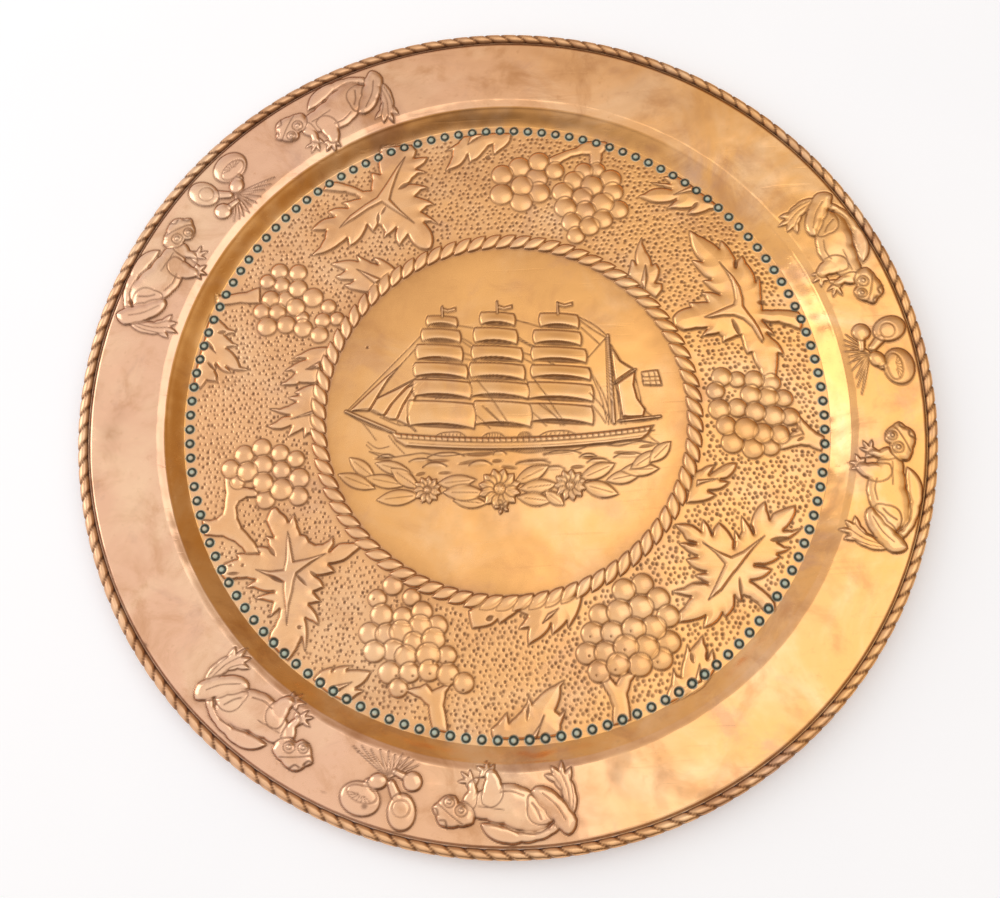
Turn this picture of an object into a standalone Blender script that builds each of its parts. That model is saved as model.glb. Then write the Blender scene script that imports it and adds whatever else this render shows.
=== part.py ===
"""A round chased copper charger, in metres, face up on z = 0 with the ship's mastheads towards +Y."""

import math

import bpy
import numpy as np

# Sizes of the dish, in millimetres
chargerRadius = 300.0
sheetThickness = 1.2
rimInnerRadius = 238.0
wallWidth = 9.0
wellRadius = rimInnerRadius - wallWidth
rimHeight = 12.0
rimRise = 1.6

# Rope edge, rolled over a wire
rollRadius = 3.6
rollStand = 2.0
edgeTwists = 152
edgeCutDepth = 1.2
edgeCutLean = 5.0
grooveDepth = 0.9
grooveWidth = 2.6

# Ring of beads at the foot of the cavetto
beadInset = 4.0
beadRingRadius = wellRadius - beadInset
beadCount = 134
beadRadius = 3.1
beadHeight = 1.5

# Rope round the medallion
ropeRadius = 133.8
ropeWidth = 12.6
ropeHeight = 2.4
ropeStrands = 78
strandLean = 9.0

# Heights of the relief above the sheet
grapeHeight = 3.0
leafHeight = 1.5
ribHeight = 1.0
ribWidth = 4.6
stemHeight = 1.5
frogHeight = 3.2
mushroomHeight = 2.8
sailHeight = 1.5
hullHeight = 1.3
waveHeight = 0.9
garlandHeight = 1.1
flowerHeight = 1.7

# How finely the solid is faceted
dishSegments = 72
wallRows = (0.96, 0.7, 0.3, 0.04)
fineColumns = 1200
ringGap = 1.2
wellTriangles = 4380
rimTriangles = 1580
steepened = 2.5  # heights stand out this much more while the face is faceted
settleHeight = 0.35  # corners below this height are let down onto the sheet

# Radii at which the motifs were drawn: each band is stretched from these to the sizes above
drawnRopeInner = 127.5
drawnRopeOuter = 140.1
drawnBeads = 221.9
drawnRimInner = 238.0
drawnRimOuter = 292.8
drawnRimMiddle = 265.0

# Vine leaves: junction of the ribs, lobes (direction, reach, half width in degrees), ribs (direction, length)
vineLeaves = (
    ((-82, 172), ((69, 44, 22), (38, 44, 16), (8, 36, 22), (-29, 44, 18), (-51, 52, 18), (-85, 38, 22),
                  (-118, 38, 16), (-144, 70, 15), (-160, 58, 14), (165, 46, 18), (105, 34, 24)),
     ((66, 37), (211, 42), (-46, 29))),
    ((172, 75), ((115, 70, 18), (96, 50, 16), (52, 29, 26), (-12, 42, 9), (-52, 44, 15), (-73, 56, 18),
                 (-120, 31, 22), (192, 50, 20), (150, 25, 22)),
     ((106, 36), (200, 27), (-63, 33))),
    ((150, -112), ((56, 48, 14), (38, 61, 14), (22, 52, 12), (7, 40, 12), (-13, 29, 14), (-50, 40, 16),
                   (-103, 42, 14), (-134, 58, 16), (204, 46, 13), (184, 30, 12), (158, 39, 12),
                   (140, 45, 16), (108, 32, 16), (76, 33, 12)),
     ((145, 23), (36, 27), (-125, 32))),
    ((-154, -102), ((100, 40, 18), (70, 27, 18), (38, 36, 20), (12, 50, 16), (-20, 31, 20), (-60, 44, 18),
                    (-79, 58, 14), (-106, 42, 17), (196, 36, 18), (170, 38, 16), (142, 32, 20)),
     ((94, 30), (268, 54), (183, 21), (14, 23))),
)

# Sprays of young leaves along the rope and along the beads
youngLeaves = (
    ((-92, 111), ((157, 33, 18), (112, 18, 22), (190, 24, 18), (70, 14, 24)), ((148, 15),)),
    ((-136, 46), ((157, 32, 15), (182, 26, 14), (208, 33, 15), (130, 20, 18)), ()),
    ((-138, 4), ((166, 30, 16), (197, 22, 16), (140, 20, 16)), ()),
    ((105, 98), ((88, 34, 16), (48, 20, 18), (128, 20, 18)), ((85, 12),)),
    ((129, -58), ((32, 33, 11), (8, 25, 11), (-20, 18, 14), (62, 20, 14)), ((30, 15),)),
    ((12, -138), ((-104, 25, 15), (-50, 25, 17), (-148, 24, 14), (197, 40, 9), (-6, 34, 9)), ()),
    ((2, 220), ((216, 46, 13), (197, 38, 9), (240, 28, 12), (268, 17, 14), (310, 15, 20)), ()),
    ((149, 160), ((189, 42, 12), (207, 38, 11), (172, 28, 12), (232, 20, 16)), ((190, 20),)),
    ((-212, 64), ((0, 32, 15), (32, 25, 14), (-32, 28, 14)), ((0, 16),)),
    ((-130, -184), ((12, 32, 15), (48, 17, 20), (-14, 22, 14)), ((12, 15),)),
    ((8, -219), ((57, 38, 12), (96, 26, 12), (138, 22, 12), (166, 34, 9), (28, 24, 13)), ((57, 17),)),
    ((117, -192), ((73, 32, 12), (98, 26, 12), (126, 22, 12), (48, 24, 12)), ()),
)

# Bunches of grapes: grape radius, then rows (first grape x, y, how many, step x, y)
bunches = (
    (6.7, ((-161, 118, 2, 13, -2), (-171, 110, 3, 12, -3), (-169, 97, 3, 11, -2), (-138, 97, 1, 0, 0),
           (-174, 86, 3, 12.5, 0.5), (-127, 89, 1, 0, 0), (-171, 74, 3, 13, 0.5), (-130, 79, 2, 11, 1),
           (-134, 67, 2, 14, -1))),
    (7.5, ((6, 188, 3, 14, 5), (4, 174, 3, 14, 5.5), (19, 165, 2, 14, 8))),
    (7.0, ((46, 190, 1, 0, 0), (67, 190, 2, 10.5, -1.5), (58, 180, 3, 14.5, -1), (50, 171, 3, 14, -1),
           (88, 170, 1, 0, 0), (51, 160, 4, 13, -1.5), (54, 148, 3, 12.5, 0), (68, 142, 1, 0, 0),
           (58, 135, 1, 0, 0))),
    (7.0, ((155, 22, 4, 11.5, -2), (150, 11, 1, 0, 0), (174, 8, 3, 11.5, -1.5), (152, -1, 5, 12, -2.2),
           (155, -15, 4, 12.6, -2.4), (158, -27, 3, 13, -4))),
    (7.3, ((74, -128, 2, 14, 3), (57, -144, 4, 13.4, 3.6), (52, -156, 5, 12.8, 2.5), (47, -170, 5, 13.6, 1.4),
           (55, -182, 4, 13.6, 2))),
    (6.8, ((-83, -117, 1, 0, 0), (-95, -127, 2, 25, 0), (-90, -138, 3, 13, 0.5), (-99, -150, 5, 11.3, 0.8),
           (-96, -163, 4, 13, 2), (-75, -167, 3, 13, 0.5), (-87, -176, 4, 13, -1), (-80, -188, 1, 0, 0),
           (-37, -187, 1, 0, 0))),
    (6.6, ((-186, -20, 2, 13, 4), (-160, -22, 2, 11.5, -2.5), (-196, -28, 4, 11.8, -1.5),
           (-172, -41, 3, 12, 0.5), (-171, -54, 2, 23, 2), (-159, -47, 1, 0, 0))),
)

# Stems of the bunches and leaves, from x, y to x, y, with the radius at each end
stems = (
    (-181, 102, -205, 104, 4.0, 6.0), (-181, 95, -206, 97, 4.0, 6.0),
    (40, 199, 72, 206, 2.5, 5.0), (76, 196, 76, 214, 3.0, 4.5),
    (196, -20, 218, -28, 5.5, 4.0), (210, -5, 222, -24, 1.0, 3.0),
    (66, -190, 66, -217, 6.0, 4.5), (66, -192, 58, -184, 4.0, 2.0), (67, -192, 74, -181, 4.0, 2.0),
    (-58, -190, -52, -219, 5.0, 4.5), (-60, -190, -72, -183, 4.0, 2.0), (-55, -192, -42, -184, 4.0, 2.0),
    (-193, -40, -193, -64, 4.0, 5.0), (-190, -42, -176, -52, 4.0, 2.5), (-193, -62, -176, -92, 5.0, 6.0),
    (-193, -64, -214, -72, 5.0, 4.0), (188, 66, 214, 64, 5.0, 6.0),
)

# Frogs round the rim: angle of the head in degrees, way the body runs, distance in from the rim's middle
frogs = ((147.1, 1, 0.0), (124.3, -1, 1.5), (16.2, 1, 0.0), (-6.7, -1, 1.0), (237.6, -1, 3.5), (259.5, 1, 2.5))
frogHead = ((3, -13, 11.0, 9.0, -12), (8, -5, 7.5, 5.0, 15))
frogEye = (-1, -13, 3.6)
frogBody = (36, -8, 23.0, 12.5, -4)
frogThigh = (62, -12, 18.5, 9.5, 131)
frogLimbs = (
    (10, -18, 40, -21, 5.0, 5.5), (40, -21, 66, -17, 5.5, 4.5), (75, -23, 78, -8, 3.5, 4.0),
    (78, -8, 71, 7, 4.0, 4.2), (13, -4, 26, 4, 4.5, 4.2), (26, 4, 27, 18, 4.0, 3.0), (14, 0, 10, 9, 3.6, 2.6),
)
frogToes = 4
frogFans = ((70, 7, 13.5, 68, 128), (27, 18, 8.5, 30, 145), (10, 9, 9.0, 45, 175))

# Mushrooms: angle of each group in degrees and the caps in it, with their stalks and grass
mushroomAngles = (135.7, 4.8, 248.5)
mushroomCaps = ((-4, -13, 13.0, 11.0, 0), (23, -13, 9.0, 12.0, 10), (25, 7, 6.6, 6.6, 0), (3, 1, 6.5, 5.5, 30))
mushroomStalks = ((-4, -11, -2, -2, 4.5, 3.5), (20, -8, 12, 2, 4.0, 3.0), (22, 8, 12, 10, 3.0, 2.2))
grassRoot = (9, 6)
grassBlades = ((-14, 18), (-6, 24), (3, 27), (12, 27), (21, 25), (28, 18))

# Ship: for each mast its tiers of sails (left, right, head, foot), top to bottom
mastSails = (
    ((-54, -33, 77, 69), (-58, -31, 67, 57), (-62, -30, 55, 43), (-64, -27, 41, 30), (-65, -25, 28, 15),
     (-69, -23, 12, -7)),
    ((-15, 9, 78, 68), (-20, 10, 66, 54), (-22, 13, 52, 41), (-24, 14, 39, 27), (-24, 16, 25, 13),
     (-22, 17, 10, -8)),
    ((28, 55, 75, 64), (23, 56, 62, 51), (21, 59, 49, 38), (20, 61, 35, 25), (17, 62, 22, 9), (17, 61, 6, -8)),
)
sailFootArch = 2.6
sailSlope = 0.1
jibs = (((-110, 9), (-66, 52), (-92, 12)), ((-92, 11), (-62, 34), (-78, 3)), ((-80, 2), (-52, 37), (-70, -7)))
spanker = ((80, 21), (93, 28), (99, 0), (97, -6), (82, -7))
flag = ((98, 28), (110, 29), (112, 17), (99, 18))
pennants = (-42, -1, 43)
pennantY = 82.5
spars = (
    (-114, 8, -80, -9, 1.3, 1.6), (76, 57, 76, -9, 1.0, 1.3), (80, -8, 109, -6, 1.2, 1.0),
    (78, 20, 94, 30, 0.9, 0.8), (-43, 77, -43, 85, 0.8, 0.6), (-3, 78, -3, 87, 0.8, 0.6),
    (41, 75, 41, 84, 0.8, 0.6),
)
hullStem = (-82, -9)
hullStern = (104, -12)
hullSag = 8.0
hullDepth = 11.0
waves = (
    (-86, -26, 12, 1.8), (-52, -34, 17, 2.6), (-44, -27, 26, 2.4), (-20, -34, 16, 2.6), (-6, -27, 9, 2.2),
    (17, -35, 24, 2.0), (38, -29, 26, 2.0), (56, -32, 12, 1.8), (63, -36, 16, 2.2), (85, -33, 22, 2.6),
    (16, -43, 15, 1.8), (32, -40, 14, 1.8), (86, -24, 30, 1.8), (-62, -30, 16, 1.6),
)
garland = (
    (-102, -33, 26, 4.0, -38), (-108, -43, 26, 4.6, -20), (-84, -33, 24, 3.8, -8), (-88, -45, 26, 4.6, -24),
    (-72, -41, 24, 4.4, -42), (-79, -56, 28, 4.6, 8), (-44, -48, 18, 3.8, -22), (-30, -53, 24, 5.0, -4),
    (-29, -61, 24, 4.4, -10), (14, -50, 26, 4.6, 22), (12, -62, 22, 3.6, -6), (29, -63, 15, 3.4, -34),
    (60, -45, 26, 4.6, 16), (62, -58, 24, 4.8, -24), (78, -50, 26, 4.0, 12), (92, -44, 26, 4.6, 4),
    (92, -38, 22, 3.6, 32), (105, -34, 20, 4.2, 40),
)
flowers = ((-57, -52, 8.0, 9), (-7, -53, 12.5, 10), (-6, -66, 5.0, 5), (42, -53, 10.0, 9))

mm = 0.001


def clearScene():
    for found in list(bpy.data.objects):
        bpy.data.objects.remove(found, do_unlink=True)


# Bands of the drawing and of the dish

def bandRadii():
    drawn = (0.0, drawnRopeInner, drawnRopeOuter, drawnBeads, drawnRimInner, drawnRimOuter)
    made = (
        0.0,
        ropeRadius - ropeWidth / 2,
        ropeRadius + ropeWidth / 2,
        beadRingRadius - beadRadius,
        rimInnerRadius,
        chargerRadius - 2 * rollRadius,
    )
    return drawn, made


def stretch(x, y, source, target):
    r = np.hypot(x, y)
    share = np.interp(r, source, target) / np.maximum(r, 1e-9)
    return x * share, y * share


def toDrawing(x, y):
    drawn, made = bandRadii()
    return stretch(x, y, made, drawn)


# Profile of the dish

def smooth(t):
    t = np.clip(t, 0.0, 1.0)
    return t * t * (3.0 - 2.0 * t)


def rimTop():
    return sheetThickness + rimHeight + rimRise


def rollCentre():
    return chargerRadius - rollRadius, rimTop() + rollStand - rollRadius


def wallShift():
    """How far out the back of the cavetto lies, so that its wall is as thick as the sheet."""
    steepest = 1.5 * rimHeight / wallWidth
    return sheetThickness * (math.hypot(1.0, steepest) - 1.0) / steepest


def dishTop(r, shift=0.0):
    wall = smooth((r - shift - wellRadius) / wallWidth)
    rimWidth = chargerRadius - 2 * rollRadius - rimInnerRadius
    rise = np.clip((r - rimInnerRadius) / rimWidth, 0.0, 1.0)
    dip = smooth((r - rimInnerRadius - rimWidth) / grooveWidth + 1.0)
    return sheetThickness + rimHeight * wall + rimRise * rise - grooveDepth * dip


def edgeTop(r, angle):
    centreR, centreZ = rollCentre()
    across = np.clip((r - centreR) / rollRadius, -1.0, 1.0)
    turn = edgeTwists * (angle - edgeCutLean / chargerRadius * across / 2) / (2 * math.pi)
    fromCut = np.abs(turn - np.round(turn)) * 2
    arch = np.sqrt(np.clip(1.0 - across * across, 0.0, 1.0))
    return centreZ + arch * (rollRadius - edgeCutDepth * (1.0 - smooth(fromCut * 2.2)))


def ropeTop(r, angle):
    across = (r - ropeRadius) / (ropeWidth / 2)
    turn = ropeStrands * (angle + strandLean / ropeRadius * across / 2) / (2 * math.pi)
    fromCut = np.abs(turn - np.round(turn)) * 2
    reach = 0.86 + 0.14 * smooth(fromCut * 1.6)
    arch = np.sqrt(np.clip(1.0 - (across / reach) ** 2, 0.0, 1.0))
    return ropeHeight * arch * (0.42 + 0.58 * smooth(fromCut * 1.5))


def beadTop(r, angle):
    turn = beadCount * angle / (2 * math.pi)
    along = (turn - np.round(turn)) * 2 * math.pi / beadCount * beadRingRadius
    away = np.hypot(r - beadRingRadius, along) / beadRadius
    return beadHeight * np.sqrt(np.clip(1.0 - away * away, 0.0, 1.0))


def bareTop(r, angle):
    return dishTop(r) + beadTop(r, angle)


# Forms of the relief: each gives its height over the sheet

class Flat:
    def inside(self, x, y):
        return x, y


class Bent:
    """A strip of the rim laid straight: s runs along it from the given angle, n runs in towards the well."""

    def __init__(self, degrees, way, inward=0.0):
        self.angle = math.radians(degrees)
        self.way = way
        self.middle = drawnRimMiddle - inward

    def inside(self, x, y):
        turn = np.arctan2(y, x) - self.angle
        turn = (turn + math.pi) % (2 * math.pi) - math.pi
        return self.way * turn * self.middle, self.middle - np.hypot(x, y)


flat = Flat()


class Dome:
    def __init__(self, place, x, y, rx, ry, turn, height):
        self.place = place
        self.at = (x, y)
        self.radii = (rx, ry)
        self.turn = math.radians(turn)
        self.high = height

    def height(self, x, y):
        s, n = self.place.inside(x, y)
        s = s - self.at[0]
        n = n - self.at[1]
        u = (s * math.cos(self.turn) + n * math.sin(self.turn)) / self.radii[0]
        v = (n * math.cos(self.turn) - s * math.sin(self.turn)) / self.radii[1]
        return self.high * np.sqrt(np.clip(1.0 - u * u - v * v, 0.0, 1.0))


class Limb:
    def __init__(self, place, x0, y0, x1, y1, r0, r1, height):
        self.place = place
        self.ends = ((x0, y0), (x1, y1))
        self.radii = (r0, r1)
        self.high = height

    def height(self, x, y):
        s, n = self.place.inside(x, y)
        (x0, y0), (x1, y1) = self.ends
        run = math.hypot(x1 - x0, y1 - y0)
        ux, uy = (x1 - x0) / run, (y1 - y0) / run
        along = np.clip((s - x0) * ux + (n - y0) * uy, 0.0, run)
        away = np.hypot(s - x0 - along * ux, n - y0 - along * uy)
        radius = self.radii[0] + (self.radii[1] - self.radii[0]) * along / run
        return self.high * np.sqrt(np.clip(1.0 - (away / radius) ** 2, 0.0, 1.0))


class Leaf:
    """A toothed leaf drawn from the meeting point of its ribs: each lobe is a spike barbed on both sides."""

    barbs = ((0.0, 1.0), (0.42, 0.66), (0.62, 0.7), (1.0, 0.36))

    def __init__(self, x, y, lobes, ribs, height):
        self.at = (x, y)
        self.ribs = ribs
        self.high = height
        self.edge = self.traced(lobes)
        self.angles = np.array([a for a, r in self.edge])
        self.reaches = np.array([r for a, r in self.edge])

    def traced(self, lobes):
        tried = sorted({
            (direction + side * share * spread) % 360.0
            for direction, reach, spread in lobes
            for share, part in self.barbs
            for side in (-1, 1)
        })
        edge = []
        for angle in tried:
            best = 4.0
            for direction, reach, spread in lobes:
                off = abs((angle - direction + 180.0) % 360.0 - 180.0) / spread
                if off <= 1.0001:
                    part = float(np.interp(off, [s for s, p in self.barbs], [p for s, p in self.barbs]))
                    best = max(best, reach * part)
            if not edge or angle - edge[-1][0] > 2.0:
                edge.append((angle, best))
            elif best > edge[-1][1]:
                edge[-1] = (angle, best)
        return edge

    def polar(self, x, y):
        x, y = x - self.at[0], y - self.at[1]
        return np.hypot(x, y), np.degrees(np.arctan2(y, x)) % 360

    def height(self, x, y):
        r, a = self.polar(x, y)
        limit = np.interp(a, self.angles, self.reaches, period=360.0)
        leaf = self.high * smooth((limit - r) / 2.6)
        rib = np.zeros_like(leaf)
        for direction, length in self.ribs:
            ux, uy = math.cos(math.radians(direction)), math.sin(math.radians(direction))
            along = (x - self.at[0]) * ux + (y - self.at[1]) * uy
            away = np.abs((x - self.at[0]) * uy - (y - self.at[1]) * ux)
            half = np.maximum(ribWidth / 2 * (1.0 - along / length), 0.05)
            rib = np.maximum(rib, np.where((along >= 0) & (along < length), 1.0 - away / half, 0.0))
        return leaf + ribHeight * np.clip(rib, 0.0, 1.0) * (leaf > 0.5 * self.high)


class Sail:
    """A sail full of wind, hung from its head and hollowed along its foot."""

    def __init__(self, left, right, head, foot, height):
        self.box = (left, right, head, foot)
        self.high = height

    def height(self, x, y):
        left, right, head, foot = self.box
        y = y + sailSlope * (x - (left + right) / 2)
        u = (x - left) / (right - left)
        low = foot + sailFootArch * np.clip(1.0 - (2 * u - 1) ** 2, 0.0, 1.0)
        v = (head - y) / (head - low)
        inside = (u > 0) & (u < 1) & (v > 0) & (v < 1)
        swell = np.sin(math.pi * np.clip(u, 0, 1)) ** 0.6 * np.sin(math.pi * np.clip(v, 0, 1) ** 1.4)
        return np.where(inside, self.high * (0.35 + 0.65 * swell), 0.0)


class Panel:
    """A flat raised piece with straight sides, such as a jib, the spanker or the flag."""

    def __init__(self, corners, height):
        self.corners = corners
        self.high = height
        area = sum(a[0] * b[1] - b[0] * a[1] for a, b in zip(corners, corners[1:] + corners[:1]))
        self.way = 1 if area > 0 else -1

    def height(self, x, y):
        inside = np.full(np.shape(x), 1e9)
        for (x0, y0), (x1, y1) in zip(self.corners, self.corners[1:] + self.corners[:1]):
            run = math.hypot(x1 - x0, y1 - y0)
            inside = np.minimum(inside, self.way * ((x1 - x0) * (y - y0) - (y1 - y0) * (x - x0)) / run)
        return self.high * smooth(inside / 1.2)


class Hull:
    """The hull under its sagging rail, from the stem to the stern."""

    def rail(self, x):
        (x0, y0), (x1, y1) = hullStem, hullStern
        share = np.clip((x - x0) / (x1 - x0), 0.0, 1.0)
        return y0 + (y1 - y0) * share - hullSag * 4 * share * (1 - share) * 0.75

    def keel(self, x):
        share = np.clip((x - hullStem[0]) / (hullStern[0] - hullStem[0]), 0.0, 1.0)
        return self.rail(x) - hullDepth * (0.35 + 0.65 * np.minimum(1.0, 12 * share)) * (1.0 - 0.3 * share)

    def height(self, x, y):
        top, low = self.rail(x), self.keel(x)
        within = (x > hullStem[0]) & (x < hullStern[0])
        depth = np.minimum(np.minimum(top - y, y - low), np.minimum(x - hullStem[0], hullStern[0] - x))
        band = 0.35 * (top - y < 3.2)
        return np.where(within & (depth > 0), hullHeight * smooth(depth / 1.4) + band, 0.0)


class Lens:
    """A narrow leaf with both ends pointed."""

    def __init__(self, x, y, length, half, turn, height):
        self.at = (x, y)
        self.size = (length / 2, half)
        self.turn = math.radians(turn)
        self.high = height

    def height(self, x, y):
        s, n = x - self.at[0], y - self.at[1]
        u = (s * math.cos(self.turn) + n * math.sin(self.turn)) / self.size[0]
        v = (n * math.cos(self.turn) - s * math.sin(self.turn)) / self.size[1]
        width = np.clip(1.0 - u * u, 1e-6, 1.0)
        return self.high * np.sqrt(np.clip(1.0 - (v / width) ** 2, 0.0, 1.0)) * (np.abs(u) < 1)


class Flower:
    """An open flower: rounded petals about a sunk eye."""

    def __init__(self, x, y, radius, petals, height):
        self.at = (x, y)
        self.radius = radius
        self.petals = petals
        self.high = height

    def height(self, x, y):
        s, n = x - self.at[0], y - self.at[1]
        petal = np.abs(np.cos(self.petals / 2 * np.arctan2(n, s)))
        away = np.hypot(s, n) / (self.radius * (0.82 + 0.18 * petal))
        full = np.sqrt(np.clip(1.0 - away * away, 0.0, 1.0)) * (0.75 + 0.25 * petal)
        return self.high * (full - 0.45 * np.exp(-((away / 0.25) ** 2)))


def fan(place, x, y, length, start, stop, height):
    toes = []
    for i in range(frogToes):
        a = math.radians(start + (stop - start) * i / (frogToes - 1))
        toes.append(Limb(place, x, y, x + length * math.cos(a), y + length * math.sin(a), 1.7, 1.0, height))
    return toes


def frog(degrees, way, inward):
    place = Bent(degrees, way, inward)
    forms = [Dome(place, *shape, frogHeight * 0.95) for shape in frogHead]
    forms.append(Dome(place, frogEye[0], frogEye[1], frogEye[2], frogEye[2], 0, frogHeight * 1.3))
    forms.append(Dome(place, *frogBody, frogHeight * 0.8))
    forms.append(Dome(place, *frogThigh, frogHeight))
    forms += [Limb(place, *shape, frogHeight * 0.85) for shape in frogLimbs]
    for shape in frogFans:
        forms += fan(place, *shape, frogHeight * 0.45)
    return forms


def mushrooms(degrees):
    place = Bent(degrees, 1)
    forms = [Dome(place, *shape, mushroomHeight) for shape in mushroomCaps]
    forms += [Limb(place, *shape, mushroomHeight * 0.8) for shape in mushroomStalks]
    forms += [Limb(place, *grassRoot, x, y, 2.2, 0.9, mushroomHeight * 0.4) for x, y in grassBlades]
    return forms


def grapes():
    forms = []
    for radius, rows in bunches:
        for x, y, count, stepX, stepY in rows:
            for i in range(int(count)):
                forms.append(Dome(flat, x + i * stepX, y + i * stepY, radius, radius, 0, grapeHeight))
    return forms


def ship():
    forms = [Sail(*sail, sailHeight) for mast in mastSails for sail in mast]
    forms += [Panel(jib, sailHeight * 0.7) for jib in jibs]
    forms += [Panel(spanker, sailHeight), Panel(flag, sailHeight * 0.5)]
    for x in pennants:
        corners = ((x - 2, pennantY + 2), (x + 9, pennantY + 1), (x + 9, pennantY - 2), (x - 2, pennantY - 1))
        forms.append(Panel(corners, sailHeight * 0.5))
    forms += [Limb(flat, *spar, sailHeight * 0.7) for spar in spars]
    forms.append(Hull())
    return forms


def seaAndGarland():
    forms = []
    for x, y, length, half in waves:
        forms.append(Dome(flat, x, y, length / 2, half, 0, waveHeight))
    forms += [Lens(*shape, garlandHeight) for shape in garland]
    forms += [Flower(*shape, flowerHeight) for shape in flowers]
    return forms


def allForms():
    wellForms = grapes() + ship() + seaAndGarland()
    wellForms += [Leaf(*at, lobes, ribs, leafHeight) for at, lobes, ribs in vineLeaves]
    wellForms += [Leaf(*at, lobes, ribs, leafHeight * 0.8) for at, lobes, ribs in youngLeaves]
    wellForms += [Limb(flat, *stem, stemHeight) for stem in stems]
    rimForms = [form for placed in frogs for form in frog(*placed)]
    rimForms += [form for degrees in mushroomAngles for form in mushrooms(degrees)]
    return wellForms, rimForms


# Surface of the face

def faceHeight(x, y):
    wellForms, rimForms = allForms()
    r = np.hypot(x, y)
    angle = np.arctan2(y, x)
    drawnX, drawnY = toDrawing(x, y)
    relief = np.zeros_like(r)
    for forms, within in ((wellForms, r < beadRingRadius - beadRadius), (rimForms, r > rimInnerRadius)):
        high = np.zeros(int(within.sum()))
        for form in forms:
            high = np.maximum(high, form.height(drawnX[within], drawnY[within]))
        relief[within] = high
    inRope = np.abs(r - ropeRadius) < ropeWidth / 2
    relief = np.where(inRope, np.maximum(ropeTop(r, angle), relief * 0.5), relief)
    return bareTop(r, angle) + relief


def backHeight(r, angle):
    centreR, centreZ = rollCentre()
    under = centreZ - rollRadius * np.sqrt(np.clip(1.0 - ((r - centreR) / rollRadius) ** 2, 0.0, 1.0))
    plate = dishTop(r, wallShift()) - sheetThickness
    return np.where(r > chargerRadius - 2 * rollRadius, np.minimum(under, plate), plate)


def zoneRadii(spans):
    """Radii of rings of points from the first value in, with the gap between rings that each stop names."""
    radii = [spans[0]]
    for stop, gap in spans[1:]:
        start = radii[-1]
        count = max(1, math.ceil((start - stop) / gap))
        radii += [start + (stop - start) * i / count for i in range(1, count + 1)]
    return radii


def rimRadii():
    return zoneRadii((chargerRadius - 2 * rollRadius, (rimInnerRadius, ringGap)))


def wellRadii():
    return zoneRadii((beadRingRadius - beadRadius, (ropeRadius + ropeWidth / 2, ringGap), (ringGap, ringGap)))


def fineNet(radii):
    """The face between the first and last of these radii as a fine net of rings, in millimetres."""
    columns = fineColumns
    angles = 2 * math.pi * np.arange(columns) / columns
    r = np.repeat(np.array(radii), columns)
    a = np.tile(angles, len(radii))
    centred = radii[-1] <= ringGap
    if centred:
        r, a = np.append(r, 0.0), np.append(a, 0.0)
    x, y = r * np.cos(a), r * np.sin(a)
    z = faceHeight(x, y)
    faces = []
    for i in range(len(radii) - 1):
        for j in range(columns):
            first = i * columns + j
            second = i * columns + (j + 1) % columns
            faces.append((first, second, second + columns, first + columns))
    if centred:
        last = (len(radii) - 1) * columns
        faces += [(last + j, last + (j + 1) % columns, len(r) - 1) for j in range(columns)]
    return np.stack([x, y, z], 1), faces


def facetedNet(radii, triangles):
    """The same net in few triangles, largest where it is flat. Returns its points and its triangles."""
    points, faces = fineNet(radii)
    points[:, 2] *= steepened
    mesh = bpy.data.meshes.new("fine_net")
    mesh.from_pydata((points * mm).tolist(), [], faces)
    body = bpy.data.objects.new("fine_net", mesh)
    bpy.context.scene.collection.objects.link(body)
    facets = body.modifiers.new("facets", "DECIMATE")
    facets.ratio = triangles / sum(len(face) - 2 for face in faces)
    facets.use_collapse_triangulate = True
    graph = bpy.context.evaluated_depsgraph_get()
    reduced = bpy.data.meshes.new_from_object(body.evaluated_get(graph))
    corners = np.array([tuple(v.co) for v in reduced.vertices])
    corners[:, 2] /= steepened
    kept = [tuple(face.vertices) for face in reduced.polygons]
    bpy.data.objects.remove(body, do_unlink=True)
    bpy.data.meshes.remove(mesh)
    bpy.data.meshes.remove(reduced)
    return [tuple(p) for p in settled(corners)], kept


def settled(corners):
    """The corners with the lowest let down onto the sheet."""
    ground = dishTop(np.hypot(corners[:, 0], corners[:, 1]) / mm)
    low = corners[:, 2] / mm - ground < settleHeight
    corners[:, 2] = np.where(low, ground * mm, corners[:, 2])
    return corners


def openEdges(corners, faces, middle):
    """The corners round a net's open edges outside and inside the middle radius, in order of angle."""
    uses = {}
    for face in faces:
        for a, b in zip(face, face[1:] + face[:1]):
            key = (min(a, b), max(a, b))
            uses[key] = uses.get(key, 0) + 1
    border = {i for edge, count in uses.items() if count == 1 for i in edge}
    outer = {i for i in border if math.hypot(corners[i][0], corners[i][1]) > middle * mm}
    return [sorted(ring, key=lambda i: angleOf(corners[i])) for ring in (outer, border - outer)]


def angleOf(point):
    return math.atan2(point[1], point[0]) % (2 * math.pi)


def laced(corners, outer, inner):
    """Triangles between two rings of corners, each in order of angle. They face up."""
    outerAngles = [angleOf(corners[i]) for i in outer]
    innerAngles = [angleOf(corners[i]) for i in inner]
    start = min(range(len(inner)), key=lambda k: abs(innerAngles[k] - outerAngles[0]))
    i, j = 0, 0
    faces = []
    while i < len(outer) or j < len(inner):
        nextOuter = outerAngles[(i + 1) % len(outer)] + (2 * math.pi if i + 1 >= len(outer) else 0.0)
        turned = start + j + 1
        nextInner = innerAngles[turned % len(inner)] + (2 * math.pi if turned >= len(inner) else 0.0)
        a, b = outer[i % len(outer)], inner[(start + j) % len(inner)]
        if j >= len(inner) or (i < len(outer) and nextOuter <= nextInner):
            faces.append((a, outer[(i + 1) % len(outer)], b))
            i += 1
        else:
            faces.append((a, inner[turned % len(inner)], b))
            j += 1
    return faces


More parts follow.
